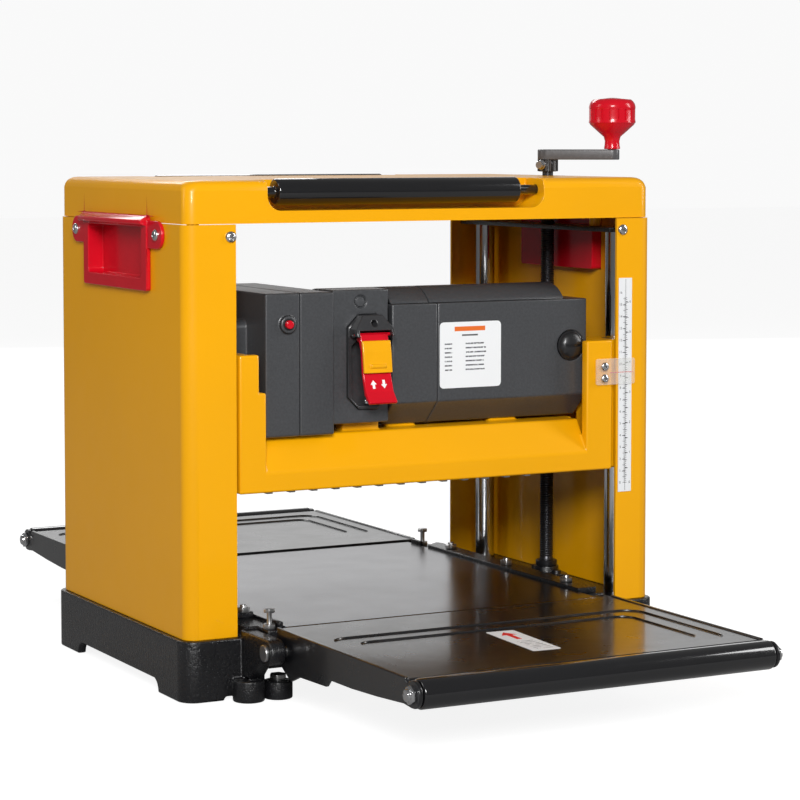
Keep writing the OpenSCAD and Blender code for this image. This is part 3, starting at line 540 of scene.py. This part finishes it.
def add_to(bm, other):
    """Adds another bmesh's shape to bm."""
    spare = bpy.data.meshes.new("spare")
    other.to_mesh(spare)
    other.free()
    bm.from_mesh(spare)
    bpy.data.meshes.remove(spare)


def rounded_plate(low, high, radius, thickness, upright=True):
    """A thin plate with round corners, standing across Y or lying across Z."""
    v = 2 if upright else 1
    left, right = low.x + radius, high.x - radius
    bottom, top = low[v] + radius, high[v] - radius
    corners = [((right, top), 0), ((left, top), 90), ((left, bottom), 180), ((right, bottom), 270)]
    flat = [p for centre, start in corners for p in arc(centre, radius, start, start + 90, 5)]
    if upright:
        return prism([(p[0], low.y, p[1]) for p in flat], (0, thickness, 0))
    return prism([(p[0], p[1], low.z) for p in flat], (0, 0, thickness))


def groove_across(bm, axis, at, width, depth, keep):
    """A seam round the shape: faces between two planes across an axis are sunk."""
    low, high = at - width / 2, at + width / 2
    cut_planes(bm, [(axis * low, axis), (axis * high, axis)])
    found = [f for f in bm.faces if low < f.calc_center_median().dot(axis) < high and keep(f)]
    sink(bm, found, -depth)


def dome(radius, foot, rise, angles):
    """Points of a dome's profile at angles in radians."""
    return [(radius * math.cos(angle), foot + rise * math.sin(angle)) for angle in angles]


def pan_screw(head_radius, height, centre, axis):
    """A pan head with a cross recess."""
    top = height * 0.25
    crown = dome(head_radius, top, height - top, (0.3, 0.6, 0.9, 1.2))
    bm = turn([(0, 0), (head_radius, 0), (head_radius, top), *crown, (0, height)], 28)
    half, reach = head_radius * 0.12, head_radius * 0.56
    spans = [(half, reach), (reach, half)]
    cuts = [(v * d, v) for v in (X, Y) for d in (-reach, -half, half, reach)]
    cut_planes(bm, cuts)

    def in_cross(face):
        c = face.calc_center_median()
        return c.z > top and any(abs(c.x) < a and abs(c.y) < b for a, b in spans)

    sink(bm, [f for f in bm.faces if in_cross(f)], -height * 0.35)
    turned = Z.rotation_difference(Vector(axis)).to_matrix().to_4x4() @ Matrix.Rotation(0.5, 4, "Z")
    bmesh.ops.transform(bm, matrix=turned, verts=bm.verts)
    bmesh.ops.translate(bm, vec=centre, verts=bm.verts)
    return bm


def middle(node):
    low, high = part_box(node)
    return (low + high) / 2


# ---------------------------------------------------------------- operators


class PLANER_OT_finishes(Operator):
    """Makes one procedural material for each finish of the machine"""

    bl_idname = "planer.finishes"
    bl_label = "Finishes"

    def execute(self, context):
        c = context.scene.planer_colours
        yellow, red, charcoal, black = (tuple(v) for v in (c.yellow, c.red, c.charcoal, c.black))
        gloss_paint("yellow_sheet", yellow, peel=260)
        gloss_paint("yellow_casting", yellow, peel=150, roughness=0.34)
        rough_casting("black_casting", black, grain=420)
        ground_steel("table_steel", (0.26, 0.26, 0.27))
        drawn_metal("bolt_steel", (0.5, 0.5, 0.5), "X", roughness=0.32)
        drawn_metal("column_chrome", (0.72, 0.73, 0.75), "Z", roughness=0.12, strength=0.02)
        drawn_metal("screw_chrome", (0.66, 0.66, 0.67), "X", roughness=0.2, grain=300)
        drawn_metal("screw_steel", (0.05, 0.05, 0.055), "X", roughness=0.35, metallic=0.8)
        drawn_metal("bush_bronze", (0.55, 0.36, 0.14), "X", roughness=0.3)
        drawn_metal("motor_steel", (0.4, 0.4, 0.41), "Y", roughness=0.3)
        drawn_metal("motor_copper", (0.6, 0.26, 0.1), "X", roughness=0.35)
        drawn_metal("cutter_steel", (0.5, 0.5, 0.52), "X", roughness=0.22)
        spark_plastic("charcoal_plastic", charcoal, grain=900)
        spark_plastic("arm_metal", (0.075, 0.075, 0.08), grain=500, roughness=0.42)
        spark_plastic("black_plastic", (0.012, 0.012, 0.013), grain=600, roughness=0.34, strength=0.1)
        spark_plastic("bezel_plastic", (0.03, 0.03, 0.032), grain=700, roughness=0.32, strength=0.12)
        gloss_plastic("red_plastic", red)
        gloss_plastic("yellow_plastic", yellow, roughness=0.3)
        gloss_plastic("roller_black", (0.008, 0.008, 0.009), roughness=0.16, coat=1.0)
        sheet_metal_black("black_sheet", black)
        matt_rubber("black_rubber", (0.012, 0.012, 0.012))
        clear_sheet("clear_plastic")
        link_chain("chain_steel")
        plain_print("white_ink", (0.85, 0.85, 0.85))
        plain_print("red_ink", tuple(c.print_red))
        plain_print("black_ink", INK[:3])
        return {"FINISHED"}


class PLANER_OT_base(Operator):
    """Base casting, bench lugs, table strips and their bolts"""

    bl_idname = "planer.base"
    bl_label = "Base"

    def execute(self, context):
        dress("base_casting", 1.3, segments=3, angle=42)
        dress("guide_strips", 0.8, finish="black_casting")
        dress("screw_flanges", 0.6)
        dress("table_bolts", 0.5)
        dress("hinge_pins", 0.6)
        dress("table_plate", 0.4)
        return {"FINISHED"}


class PLANER_OT_covers(Operator):
    """Painted sheet covers"""

    bl_idname = "planer.covers"
    bl_label = "Covers"

    def execute(self, context):
        low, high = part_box("left_handle")
        inner = -low.x - 30 * MM
        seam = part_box("left_cover")[1].z

        def free(point):
            """Whether a point is clear of the handles and of the seam under the top cover."""
            at_handle = low.y < point.y < high.y and point.z > low.z and abs(point.x) > inner
            return not at_handle and abs(point.z - seam) > 0.5 * MM

        dress("left_cover", 0.8, segments=3, where=free)
        dress("right_cover", 0.8, segments=3, where=free)
        dress("top_cover", 0.5, angle=45, where=free)
        return {"FINISHED"}


class PLANER_OT_handles(Operator):
    """Moulded carrying handles"""

    bl_idname = "planer.handles"
    bl_label = "Handles"

    def execute(self, context):
        dress("left_handle", 0.7, segments=3)
        dress("right_handle", 0.7, segments=3)
        return {"FINISHED"}


SCREW_RADIUS = 6 * MM
THREAD_FOOT = 64 * MM


class PLANER_OT_lift(Operator):
    """Columns, threaded lead screws, their plates and the lift chain"""

    bl_idname = "planer.lift"
    bl_label = "Lift"

    def threaded(self, node, low, high, pitch, depth):
        """One groove wound round the screw from low to high, closed by plain ends."""
        centre = middle(node)
        radius = SCREW_RADIUS
        steps = 18
        turns = math.floor((high - low) / pitch)
        bm = bmesh.new()
        shape = [(radius - depth, 0), (radius, 0.38), (radius, 0.62), (radius - depth, 1)]
        line = [bm.verts.new((centre.x + r, centre.y, low + share * pitch)) for r, share in shape]
        edges = [bm.edges.new(pair) for pair in zip(line, line[1:])]
        bmesh.ops.spin(
            bm, geom=line + edges, axis=Z, cent=(centre.x, centre.y, 0), dvec=(0, 0, pitch / steps),
            angle=math.tau * turns, steps=steps * turns, use_merge=False,
        )
        bmesh.ops.remove_doubles(bm, verts=bm.verts, dist=0.01 * MM)
        bmesh.ops.recalc_face_normals(bm, faces=bm.faces)
        return bm

    def execute(self, context):
        sizes = context.scene.planer_sizes
        paint("columns", "lift_bushes")
        dress("top_plates", 0.8, finish="black_casting")
        paint("lift_chain", finish="chain_steel")
        thread_tops = {
            "right_screw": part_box("top_cover")[1].z - 6 * MM,
            "left_screw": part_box("left_screw")[1].z - 4 * MM,
        }
        core = SCREW_RADIUS - sizes.thread_depth * 0.9
        sprocket = in_mm((10.6, 23), (11, 23.5), (11, 30.5), (10.6, 31))
        collar = in_mm((6, 31), (6, 57.2), (9.2, 57.2), (9.5, 57.6))
        collar += in_mm((9.5, 61.6), (9.1, 62), (6, 62), (6, 64))
        for node, top in thread_tops.items():
            low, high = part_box(node)
            centre = middle(node)
            foot = [(0, low.z), (5.6 * MM, low.z), (SCREW_RADIUS, low.z + 0.4 * MM)]
            foot += in_mm((6, 22.6))
            neck = [(core, THREAD_FOOT + 1 * MM), (core, top + 1 * MM), (SCREW_RADIUS, top + 1.5 * MM)]
            if node == "right_screw":
                end = [(SCREW_RADIUS, high.z - 18 * MM), (4.75 * MM, high.z - 17.6 * MM)]
                end += [(4.75 * MM, high.z)]
            else:
                end = [(5.5 * MM, high.z)]
            profile = foot + sprocket + collar + neck + end + [(0, high.z)]
            rod = turn(profile, 40, centre=(centre.x, centre.y, 0))
            add_to(rod, self.threaded(node, THREAD_FOOT, top, sizes.thread_pitch, sizes.thread_depth))
            body = frame["nodes"][node]["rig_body"]
            piece(f"{node}_threaded", rod, body, "screw_steel", "screw_steel", 40, [node])
        return {"FINISHED"}


class PLANER_OT_crank(Operator):
    """Crank arm with its splined hub and clamp screw, and the grooved knob"""

    bl_idname = "planer.crank"
    bl_label = "Crank"

    def hub(self, centre, low, high, radius, teeth=14):
        """A round boss with lengthwise splines."""
        bm = bmesh.new()
        bmesh.ops.create_circle(bm, segments=teeth * 4, radius=radius, cap_ends=True)
        bmesh.ops.translate(bm, vec=(0, 0, low), verts=bm.verts)
        ring = sorted(bm.verts, key=lambda v: math.atan2(v.co.y, v.co.x))
        valley = [v for i, v in enumerate(ring) if i % 4 in (2, 3)]
        bmesh.ops.scale(bm, vec=(0.88, 0.88, 1), verts=valley)
        extrude(bm, bm.faces[:], (0, 0, high - low))
        bmesh.ops.translate(bm, vec=(centre.x, centre.y, 0), verts=bm.verts)
        return bm

    def knob(self, centre, low, height, radius, flutes):
        """Domed top, a band with grip grooves, a lip, a cone and a neck."""
        band = (0.56 * height, 0.78 * height)
        corner = 9 * MM
        neck = in_mm((0, 0), (6.6, 0), (7.2, 0.8), (6.7, 3), (6.4, 7))
        cone = [(7.4 * MM, 0.24 * height), (0.60 * radius, 0.335 * height), (0.95 * radius, 0.48 * height)]
        lip = [(0.965 * radius, 0.5 * height), (radius, 0.512 * height), (radius, 0.545 * height)]
        grip = [(0.99 * radius, band[0])]
        grip += [(0.985 * radius, band[0] + share * (band[1] - band[0])) for share in (0.12, 0.5, 0.88, 1)]
        crown = arc((radius - corner, height - corner), corner, 0, 55, 4)
        top = [(0.42 * radius, height - 0.9 * MM), (0.2 * radius, height - 0.2 * MM), (0, height)]
        bm = turn(neck + cone + lip + grip + crown + top, flutes * 4)
        pitch = math.tau / flutes

        def in_groove(face):
            c = face.calc_center_median()
            share = (math.atan2(c.y, c.x) / pitch) % 1
            return band[0] < c.z < band[1] and 0.5 < share < 0.75

        grooves = [f for f in bm.faces if in_groove(f)]
        bmesh.ops.inset_region(
            bm, faces=grooves, thickness=0.35 * MM, depth=-1.0 * MM, use_even_offset=True
        )
        bmesh.ops.translate(bm, vec=(centre.x, centre.y, low), verts=bm.verts)
        return bm

    def execute(self, context):
        low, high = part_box("crank_knob")
        centre = middle("crank_knob")
        flutes = context.scene.planer_sizes.knob_flutes
        knob = self.knob(centre, low.z, high.z - low.z, (high.x - low.x) / 2, flutes)
        piece("crank_knob_grooved", knob, "knob", "red_plastic", "red_plastic", 40, ["crank_knob"])
        dress("crank_arm", 0.9, segments=3)
        arm_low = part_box("crank_arm")[0]
        shaft = middle("right_screw")
        hub = self.hub(shaft, arm_low.z + 0.3 * MM, arm_low.z + 10.6 * MM, 9.2 * MM)
        piece("crank_hub_splined", hub, "crank", "black_plastic", "black_plastic", 30)
        out = Vector((-0.86, -0.5, 0)).normalized()
        at = Vector((shaft.x, shaft.y, arm_low.z + 6 * MM))
        stem = in_mm((0, 8), (2.4, 8), (2.4, 11))
        nut = in_mm((4.2, 11), (4.2, 12.4), (3.6, 12.6), (3.6, 15.6), (3.1, 16.2), (0, 16.2))
        bolt = turn(stem + nut, 24, out, at)
        piece("crank_clamp_screw", bolt, "crank", "screw_chrome", "screw_chrome")
        return {"FINISHED"}


class PLANER_OT_head(Operator):
    """Painted frame of the cutter head"""

    bl_idname = "planer.head"
    bl_label = "Cutter head frame"

    def execute(self, context):
        dress("head_casting", 1.6, segments=3, angle=30)
        dress("chip_hood", 0.3)
        paint("pawl_rod", "kickback_pawls", "head_bearings")
        return {"FINISHED"}


class PLANER_OT_housings(Operator):
    """Moulded housings of the motor and its drive, with their seams"""

    bl_idname = "planer.housings"
    bl_label = "Housings"

    def execute(self, context):
        seam = context.scene.planer_sizes.seam_width
        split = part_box("motor_end_cover")[0].x - 7 * MM

        def part_barrel(bm):
            groove_across(bm, X, split, seam, 0.8 * MM, keep=self.outside)

        dress("belt_cover", 1.3, segments=3)
        dress("gear_cover", 1.3, segments=3)
        dress("switch_panel", 0.8)
        dress("motor_cover", 1.3, segments=3)
        dress("motor_end_cover", 1.3, segments=3)
        dress("motor_barrel", 0.8, shape=part_barrel)
        dress("cable_gland", 0.6)
        paint("feed_gearbox", "stator", "drive_belt")
        paint("feed_chain", finish="chain_steel")
        self.brush_cap()
        return {"FINISHED"}

    def outside(self, face):
        """Whether a face of the barrel is part of its wall and looks away from the motor's axis."""
        away = face.calc_center_median() - middle("stator")
        away.x = 0
        return abs(face.normal.x) < 0.5 and face.normal.dot(away) > 0

    def brush_cap(self):
        """Domed cap with a coin slot and a ring round its rim."""
        low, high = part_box("brush_caps")
        centre = (low + high) / 2
        radius = (high.x - low.x) / 2
        rim = 5 * MM
        deep = high.y - low.y
        wall = [(0, 0), (radius, 0), (radius, deep - rim - 0.6 * MM), (0.96 * radius, deep - rim)]
        crown = dome(0.93 * radius, deep - rim, rim, (0, 0.4, 0.8, 1.15, 1.4))
        bm = turn([*wall, *crown, (0, deep)], 48)
        wide, reach = 1.1 * MM, 0.62 * radius
        cut_planes(bm, [(Y * wide, Y), (Y * -wide, Y), (X * reach, X), (X * -reach, X)])

        def in_slot(face):
            c = face.calc_center_median()
            return c.z > deep - rim and abs(c.y) < wide and abs(c.x) < reach

        sink(bm, [f for f in bm.faces if in_slot(f)], -2 * MM)
        bmesh.ops.transform(bm, matrix=Matrix.Rotation(math.radians(90), 4, "X"), verts=bm.verts)
        bmesh.ops.translate(bm, vec=(centre.x, high.y, centre.z), verts=bm.verts)
        piece("brush_cap_slotted", bm, "head", "black_plastic", "black_plastic", 35, ["brush_caps"])


class PLANER_OT_switch(Operator):
    """Switch bezel, paddle with its two arrows, lock-out key, and the reset button in its knurled collar"""

    bl_idname = "planer.switch"
    bl_label = "Switch"

    def arrow(self, centre, up, size):
        """A flat white arrow on the paddle's curled end."""
        tip, stem, barb = size * 0.5, size * 0.16, size * 0.38
        sign = 1 if up else -1
        flat = [(-stem, -tip), (stem, -tip), (stem, 0), (barb, 0), (0, tip), (-barb, 0), (-stem, 0)]
        lean = Matrix.Rotation(math.radians(-19.6), 4, "X")
        outline = [Vector((u, 0, v * sign)) for u, v in flat]
        bm = prism(outline, (0, -0.15 * MM, 0))
        bmesh.ops.transform(bm, matrix=lean, verts=bm.verts)
        bmesh.ops.translate(bm, vec=centre, verts=bm.verts)
        return bm

    def execute(self, context):
        dress("switch_bezel", 0.7, finish="bezel_plastic")
        dress("switch_paddle", 0.8, segments=3)
        dress("safety_key", 0.7, segments=3)
        dress("reset_button", 1.2, segments=4)
        centre_x = middle("switch_paddle").x
        arrows = bmesh.new()
        for side, up in ((-1, True), (1, False)):
            at = (centre_x + side * 4.6 * MM, -144.9 * MM, 241.5 * MM)
            add_to(arrows, self.arrow(at, up, 7 * MM))
        piece("paddle_arrows", arrows, "paddle", "white_ink", "red_plastic")
        self.reset_collar()
        screw = pan_screw(2.6 * MM, 1.4 * MM, (centre_x, -125 * MM, 226 * MM), -Y)
        piece("bezel_screw", screw, "head", "screw_chrome", "screw_chrome")
        return {"FINISHED"}

    def reset_collar(self):
        """A ring with a notched rim round the reset button."""
        steps = 72
        inner = in_mm((3.6, 0), (3.6, 3.0), (4.8, 3.0), (5.0, 1.6))
        outer = in_mm((6.0, 1.6), (6.4, 2.6), (7.0, 2.6), (7.4, 2.2), (7.4, 0.0), (3.6, 0))
        ring = turn(inner + outer, steps)
        rim = [v for v in ring.verts if math.hypot(v.co.x, v.co.y) > 6.9 * MM]
        notch = [v for v in rim if round(math.atan2(v.co.y, v.co.x) / (math.tau / steps)) % 3 == 0]
        bmesh.ops.scale(ring, vec=(0.92, 0.92, 1), verts=notch)
        bmesh.ops.transform(ring, matrix=Matrix.Rotation(math.radians(90), 4, "X"), verts=ring.verts)
        centre = middle("reset_button")
        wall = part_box("belt_cover")[0].y + 3 * MM
        bmesh.ops.translate(ring, vec=(centre.x, wall, centre.z), verts=ring.verts)
        piece("reset_collar_knurled", ring, "head", "black_plastic", "black_plastic", 30)


class PLANER_OT_prints(Operator):
    """Depth scale with its numbers, pointer, data plate and feed sticker"""

    bl_idname = "planer.prints"
    bl_label = "Printed plates"

    def numbers(self, values, size, place):
        """Numerals as flat meshes facing the infeed side, each put where place says."""
        bm = bmesh.new()
        for value in values:
            curve = bpy.data.curves.new("numeral", "FONT")
            curve.body = str(value)
            curve.size = size
            curve.align_x = "CENTER"
            curve.align_y = "CENTER"
            curve.extrude = 0.02 * MM
            spare = bpy.data.objects.new("numeral", curve)
            bpy.context.scene.collection.objects.link(spare)
            mesh = bpy.data.meshes.new_from_object(spare)
            mesh.transform(Matrix.Translation(place(value)) @ Matrix.Rotation(math.radians(90), 4, "X"))
            bm.from_mesh(mesh)
            bpy.data.objects.remove(spare)
            bpy.data.curves.remove(curve)
            bpy.data.meshes.remove(mesh)
        bmesh.ops.remove_doubles(bm, verts=bm.verts, dist=0.001 * MM)
        return bm

    def execute(self, context):
        step = context.scene.planer_sizes.dial_step
        low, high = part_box("scale_strip")
        zero = low.z + 7.7 * MM
        printed_scale("scale_tape", low, high, zero)
        dress("scale_strip", 0.15, segments=1)
        face = low.y - 0.03 * MM
        left, right = low.x + 1.9 * MM, high.x - 1.8 * MM
        metric = self.numbers(range(0, 17), 2.9 * MM, lambda n: Vector((left, face, zero + n * step)))
        piece("scale_centimetres", metric, "root", "black_ink", "scale_tape")
        inches = self.numbers(range(0, 7), 2.9 * MM, lambda n: Vector((right, face, zero + n * 25.4 * MM)))
        piece("scale_inches", inches, "root", "black_ink", "scale_tape")
        dress("pointer_plate", 0.3)
        plate_low, plate_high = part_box("pointer_plate")
        level = (plate_low.z + plate_high.z) / 2 - 1 * MM
        line_low = Vector((plate_low.x + 14 * MM, plate_high.y + 0.02 * MM, level - 0.3 * MM))
        line_high = Vector((plate_high.x - 0.5 * MM, 0, level + 0.3 * MM))
        line = rounded_plate(line_low, line_high, 0.2 * MM, 0.05 * MM)
        piece("pointer_line", line, "head", "red_ink", "clear_plastic")
        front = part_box("motor_end_cover")
        data_low = Vector((front[0].x + 1.6 * MM, front[0].y - 0.22 * MM, 233 * MM))
        data_high = Vector((front[0].x + 59 * MM, 0, 287 * MM))
        printed_label("data_print", data_low, data_high, rows=7)
        plate = rounded_plate(data_low, data_high, 3.5 * MM, 0.24 * MM)
        piece("data_plate", plate, "head", "data_print", "scale_tape")
        self.sticker()
        return {"FINISHED"}

    def sticker(self):
        """The feed sticker on the infeed table's sunk panel, a little askew, with its arrow."""
        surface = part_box("infeed_table")[1].z - 3.4 * MM
        low = Vector((-15 * MM, -331 * MM, surface + 0.02 * MM))
        high = Vector((9 * MM, -252 * MM, 0))
        printed_sticker("feed_print", low, high)
        turned = Matrix.Rotation(math.radians(-3), 4, "Z")
        centre = Vector(((low.x + high.x) / 2, (low.y + high.y) / 2, 0))
        about = Matrix.Translation(centre) @ turned @ Matrix.Translation(-centre)
        plate = rounded_plate(low, high, 2 * MM, 0.15 * MM, upright=False)
        bmesh.ops.transform(plate, matrix=about, verts=plate.verts)
        piece("feed_sticker", plate, "infeed_wing", "feed_print", "scale_tape")
        x, y, z = centre.x, high.y - 20 * MM, low.z + 0.14 * MM
        flat = [(-2.2, -14), (2.2, -14), (2.2, 3), (6.5, 3), (0, 14), (-6.5, 3), (-2.2, 3)]
        arrow = prism([(x + u * MM, y + v * MM, z) for u, v in flat], (0, 0, 0.05 * MM))
        bmesh.ops.transform(arrow, matrix=about, verts=arrow.verts)
        piece("feed_arrow", arrow, "infeed_wing", "red_ink", "scale_tape")


class PLANER_OT_drive(Operator):
    """Motor, belt drive, cutterhead and feed rollers"""

    bl_idname = "planer.drive"
    bl_label = "Drive and cutter"

    def execute(self, context):
        paint("armature", "motor_pulley", "cutter_pulley", "cutter_knives", "gearbox_sprocket")
        dress("cutterhead", 0.5)
        self.knurl("infeed_feed_roller", "cutter_steel", 0.5 * MM, 56)
        self.knurl("outfeed_feed_roller", "black_rubber", 0.0, 56)
        return {"FINISHED"}

    def knurl(self, node, finish, depth, teeth):
        """The feed roller: a long barrel, with lengthwise teeth on the infeed one."""
        low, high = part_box(node)
        centre = middle(node)
        barrel = (high.z - low.z) / 2
        end = 147 * MM
        edge = 1 * MM
        left_shaft = [(0, low.x), (6 * MM, low.x), (6 * MM, -end)]
        wide = [(barrel - edge, -end), (barrel, edge - end), (barrel, end - edge), (barrel - edge, end)]
        boss = in_mm((6, 147), (6, 174), (11, 174), (11, 178), (6, 178))
        bm = turn([*left_shaft, *wide, *boss, (6 * MM, high.x), (0, high.x)], teeth)
        if depth:
            outer = [v for v in bm.verts if math.hypot(v.co.x, v.co.y) > barrel - 0.1 * MM]
            step = math.tau / teeth
            valley = [v for v in outer if round(math.atan2(v.co.y, v.co.x) / step) % 2]
            bmesh.ops.scale(bm, vec=(1 - depth / barrel, 1 - depth / barrel, 1), verts=valley)
        bmesh.ops.transform(bm, matrix=Matrix.Rotation(math.radians(90), 4, "Y"), verts=bm.verts)
        bmesh.ops.translate(bm, vec=(0, centre.y, centre.z), verts=bm.verts)
        piece(f"{node}_turned", bm, frame["nodes"][node]["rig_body"], finish, SLOT_OF[node], 25, [node])


class PLANER_OT_tables(Operator):
    """Folding tables with their end rollers and axle nuts"""

    bl_idname = "planer.tables"
    bl_label = "Folding tables"

    def execute(self, context):
        for side in ("infeed", "outfeed"):
            dress(f"{side}_table", 0.7)
            dress(f"{side}_end_roller", 1.5, segments=3)
            dress(f"{side}_roller_bolts", 0.6)
        return {"FINISHED"}


class PLANER_OT_return_rollers(Operator):
    """Return rollers on the top cover"""

    bl_idname = "planer.return_rollers"
    bl_label = "Return rollers"

    def execute(self, context):
        for side in ("front", "rear"):
            dress(f"{side}_top_roller", 1.4, segments=3)
        return {"FINISHED"}


class PLANER_OT_screws(Operator):
    """Cross-recessed pan heads of the covers, handles and pointer"""

    bl_idname = "planer.screws"
    bl_label = "Screws"

    def execute(self, context):
        half_depth = -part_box("left_cover")[0].y
        height = 3 * MM
        radius = 4.6 * MM
        level = 360.5 * MM
        heads = bmesh.new()
        for x in mm(-174.6, 183.5):
            for side in (-1, 1):
                add_to(heads, pan_screw(radius, height, (x, side * half_depth, level), Y * side))
        ear = -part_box("left_handle")[0].y - 11 * MM
        out = -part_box("left_cover")[0].x + 3 * MM
        for side in (-1, 1):
            for y in (-ear, ear):
                add_to(heads, pan_screw(radius, height, (side * out, y, 361 * MM), X * side))
        piece("cover_screws_recessed", heads, "root", "screw_chrome", "screw_chrome", 32, ["cover_screws"])
        low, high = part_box("pointer_screws")
        head = 2.4 * MM
        shank = high.y - low.y - head
        pointer = bmesh.new()
        for z in mm(236.5, 246.5):
            at = (middle("pointer_screws").x, low.y + head, z)
            add_to(pointer, pan_screw(3.6 * MM, head, at, -Y))
            add_to(pointer, turn([(0, 0), (2 * MM, 0), (2 * MM, shank), (0, shank)], 16, Y, at))
        piece("pointer_screws_recessed", pointer, "head", "screw_chrome", "screw_chrome", 32, ["pointer_screws"])
        return {"FINISHED"}


class PLANER_OT_stage(Operator):
    """Pale floor, soft lights and the camera"""

    bl_idname = "planer.stage"
    bl_label = "Stage"

    def light(self, name, at, aim, size, power):
        data = bpy.data.lights.new(name, "AREA")
        data.shape = "RECTANGLE"
        data.size, data.size_y = size
        data.energy = power
        lamp = bpy.data.objects.new(name, data)
        lamp.location = at
        lamp.visible_camera = False
        lamp.rotation_euler = (Vector(aim) - Vector(at)).to_track_quat("-Z", "Y").to_euler()
        bpy.context.scene.collection.objects.link(lamp)

    def backdrop(self, scene):
        """White behind the object, and a much dimmer room for its reflections."""
        world = bpy.data.worlds.new("studio")
        world.use_nodes = True
        tree = world.node_tree
        strength = tree.nodes["Background"].inputs["Strength"]
        seen = tree.nodes.new("ShaderNodeLightPath").outputs["Is Camera Ray"]
        level = tree.nodes.new("ShaderNodeMapRange")
        level.inputs["To Min"].default_value = 0.16
        level.inputs["To Max"].default_value = 0.95
        tree.links.new(seen, level.inputs["Value"])
        tree.links.new(level.outputs["Result"], strength)
        tree.nodes["Background"].inputs["Color"].default_value = (1, 1, 1, 1)
        scene.world = world

    def execute(self, context):
        scene = context.scene
        scene.view_settings.view_transform = "Standard"
        floor_finish = Finish("pale_floor", (0.3, 0.3, 0.3), roughness=0.8, specular_ior_level=0.1)
        floor_finish.mottle(3, 0.985, 1.0)
        seen = floor_finish.node("ShaderNodeLightPath")
        glow = floor_finish.blend(seen, (0.03, 0.03, 0.03, 1), (0.88, 0.88, 0.88, 1))
        floor_finish.feed("Emission Color", glow)
        floor_finish.feed("Emission Strength", 1.0)
        bm = bmesh.new()
        bmesh.ops.create_grid(bm, x_segments=1, y_segments=1, size=12)
        bmesh.ops.translate(bm, vec=(0, 0, -0.0005), verts=bm.verts)
        mesh = bpy.data.meshes.new("floor")
        bm.to_mesh(mesh)
        bm.free()
        mesh.materials.append(floor_finish.material)
        floor = bpy.data.objects.new("floor", mesh)
        scene.collection.objects.link(floor)
        self.backdrop(scene)
        self.light("key", (-1.2, -2.5, 1.3), (0, 0, 0.2), (0.8, 0.8), 74)
        self.light("left", (-2.3, 0.6, 1.2), (0, 0, 0.2), (0.6, 1.2), 8)
        self.light("right", (2.3, -1.2, 1.2), (0, 0, 0.2), (0.6, 1.5), 24)
        self.light("back", (0.3, 2.4, 1.8), (0, 0, 0.2), (1.6, 0.6), 20)
        self.light("card", (1.2, 3.0, 0.6), (0.2, 0, 0.1), (3.2, 1.1), 8)
        camera = bpy.data.cameras.new("camera")
        camera.lens = 116.0
        camera.sensor_width = 36
        camera.shift_y = -0.1175
        camera.clip_end = 100
        made = bpy.data.objects.new("camera", camera)
        made.location = (-0.9861, -1.9565, 0.4343)
        made.rotation_euler = (math.radians(90 - 3.66), 0, math.radians(-27.8))
        scene.collection.objects.link(made)
        scene.camera = made
        return {"FINISHED"}


class PLANER_PT_panel(Panel):
    """Lists the machine's parts, its colours and its sizes"""

    bl_idname = "PLANER_PT_panel"
    bl_label = "Thickness planer"
    bl_space_type = "VIEW_3D"
    bl_region_type = "UI"
    bl_category = "Planer"

    def draw(self, context):
        for settings in (context.scene.planer_colours, context.scene.planer_sizes):
            for name in settings.__annotations__:
                self.layout.prop(settings, name)
        for operator in OPERATORS:
            self.layout.operator(operator.bl_idname)


OPERATORS = (
    PLANER_OT_finishes,
    PLANER_OT_stage,
    PLANER_OT_base,
    PLANER_OT_covers,
    PLANER_OT_handles,
    PLANER_OT_lift,
    PLANER_OT_crank,
    PLANER_OT_head,
    PLANER_OT_housings,
    PLANER_OT_switch,
    PLANER_OT_prints,
    PLANER_OT_drive,
    PLANER_OT_tables,
    PLANER_OT_return_rollers,
    PLANER_OT_screws,
)
CLASSES = (PlanerColours, PlanerSizes, *OPERATORS, PLANER_PT_panel)


def register():
    for cls in CLASSES:
        bpy.utils.register_class(cls)
    bpy.types.Scene.planer_colours = PointerProperty(type=PlanerColours)
    bpy.types.Scene.planer_sizes = PointerProperty(type=PlanerSizes)


def unregister():
    del bpy.types.Scene.planer_sizes
    del bpy.types.Scene.planer_colours
    for cls in reversed(CLASSES):
        bpy.utils.unregister_class(cls)


def main():
    register()
    for operator in OPERATORS:
        group, name = operator.bl_idname.split(".")
        getattr(getattr(bpy.ops, group), name)()


if __name__ == "__main__":
    main()
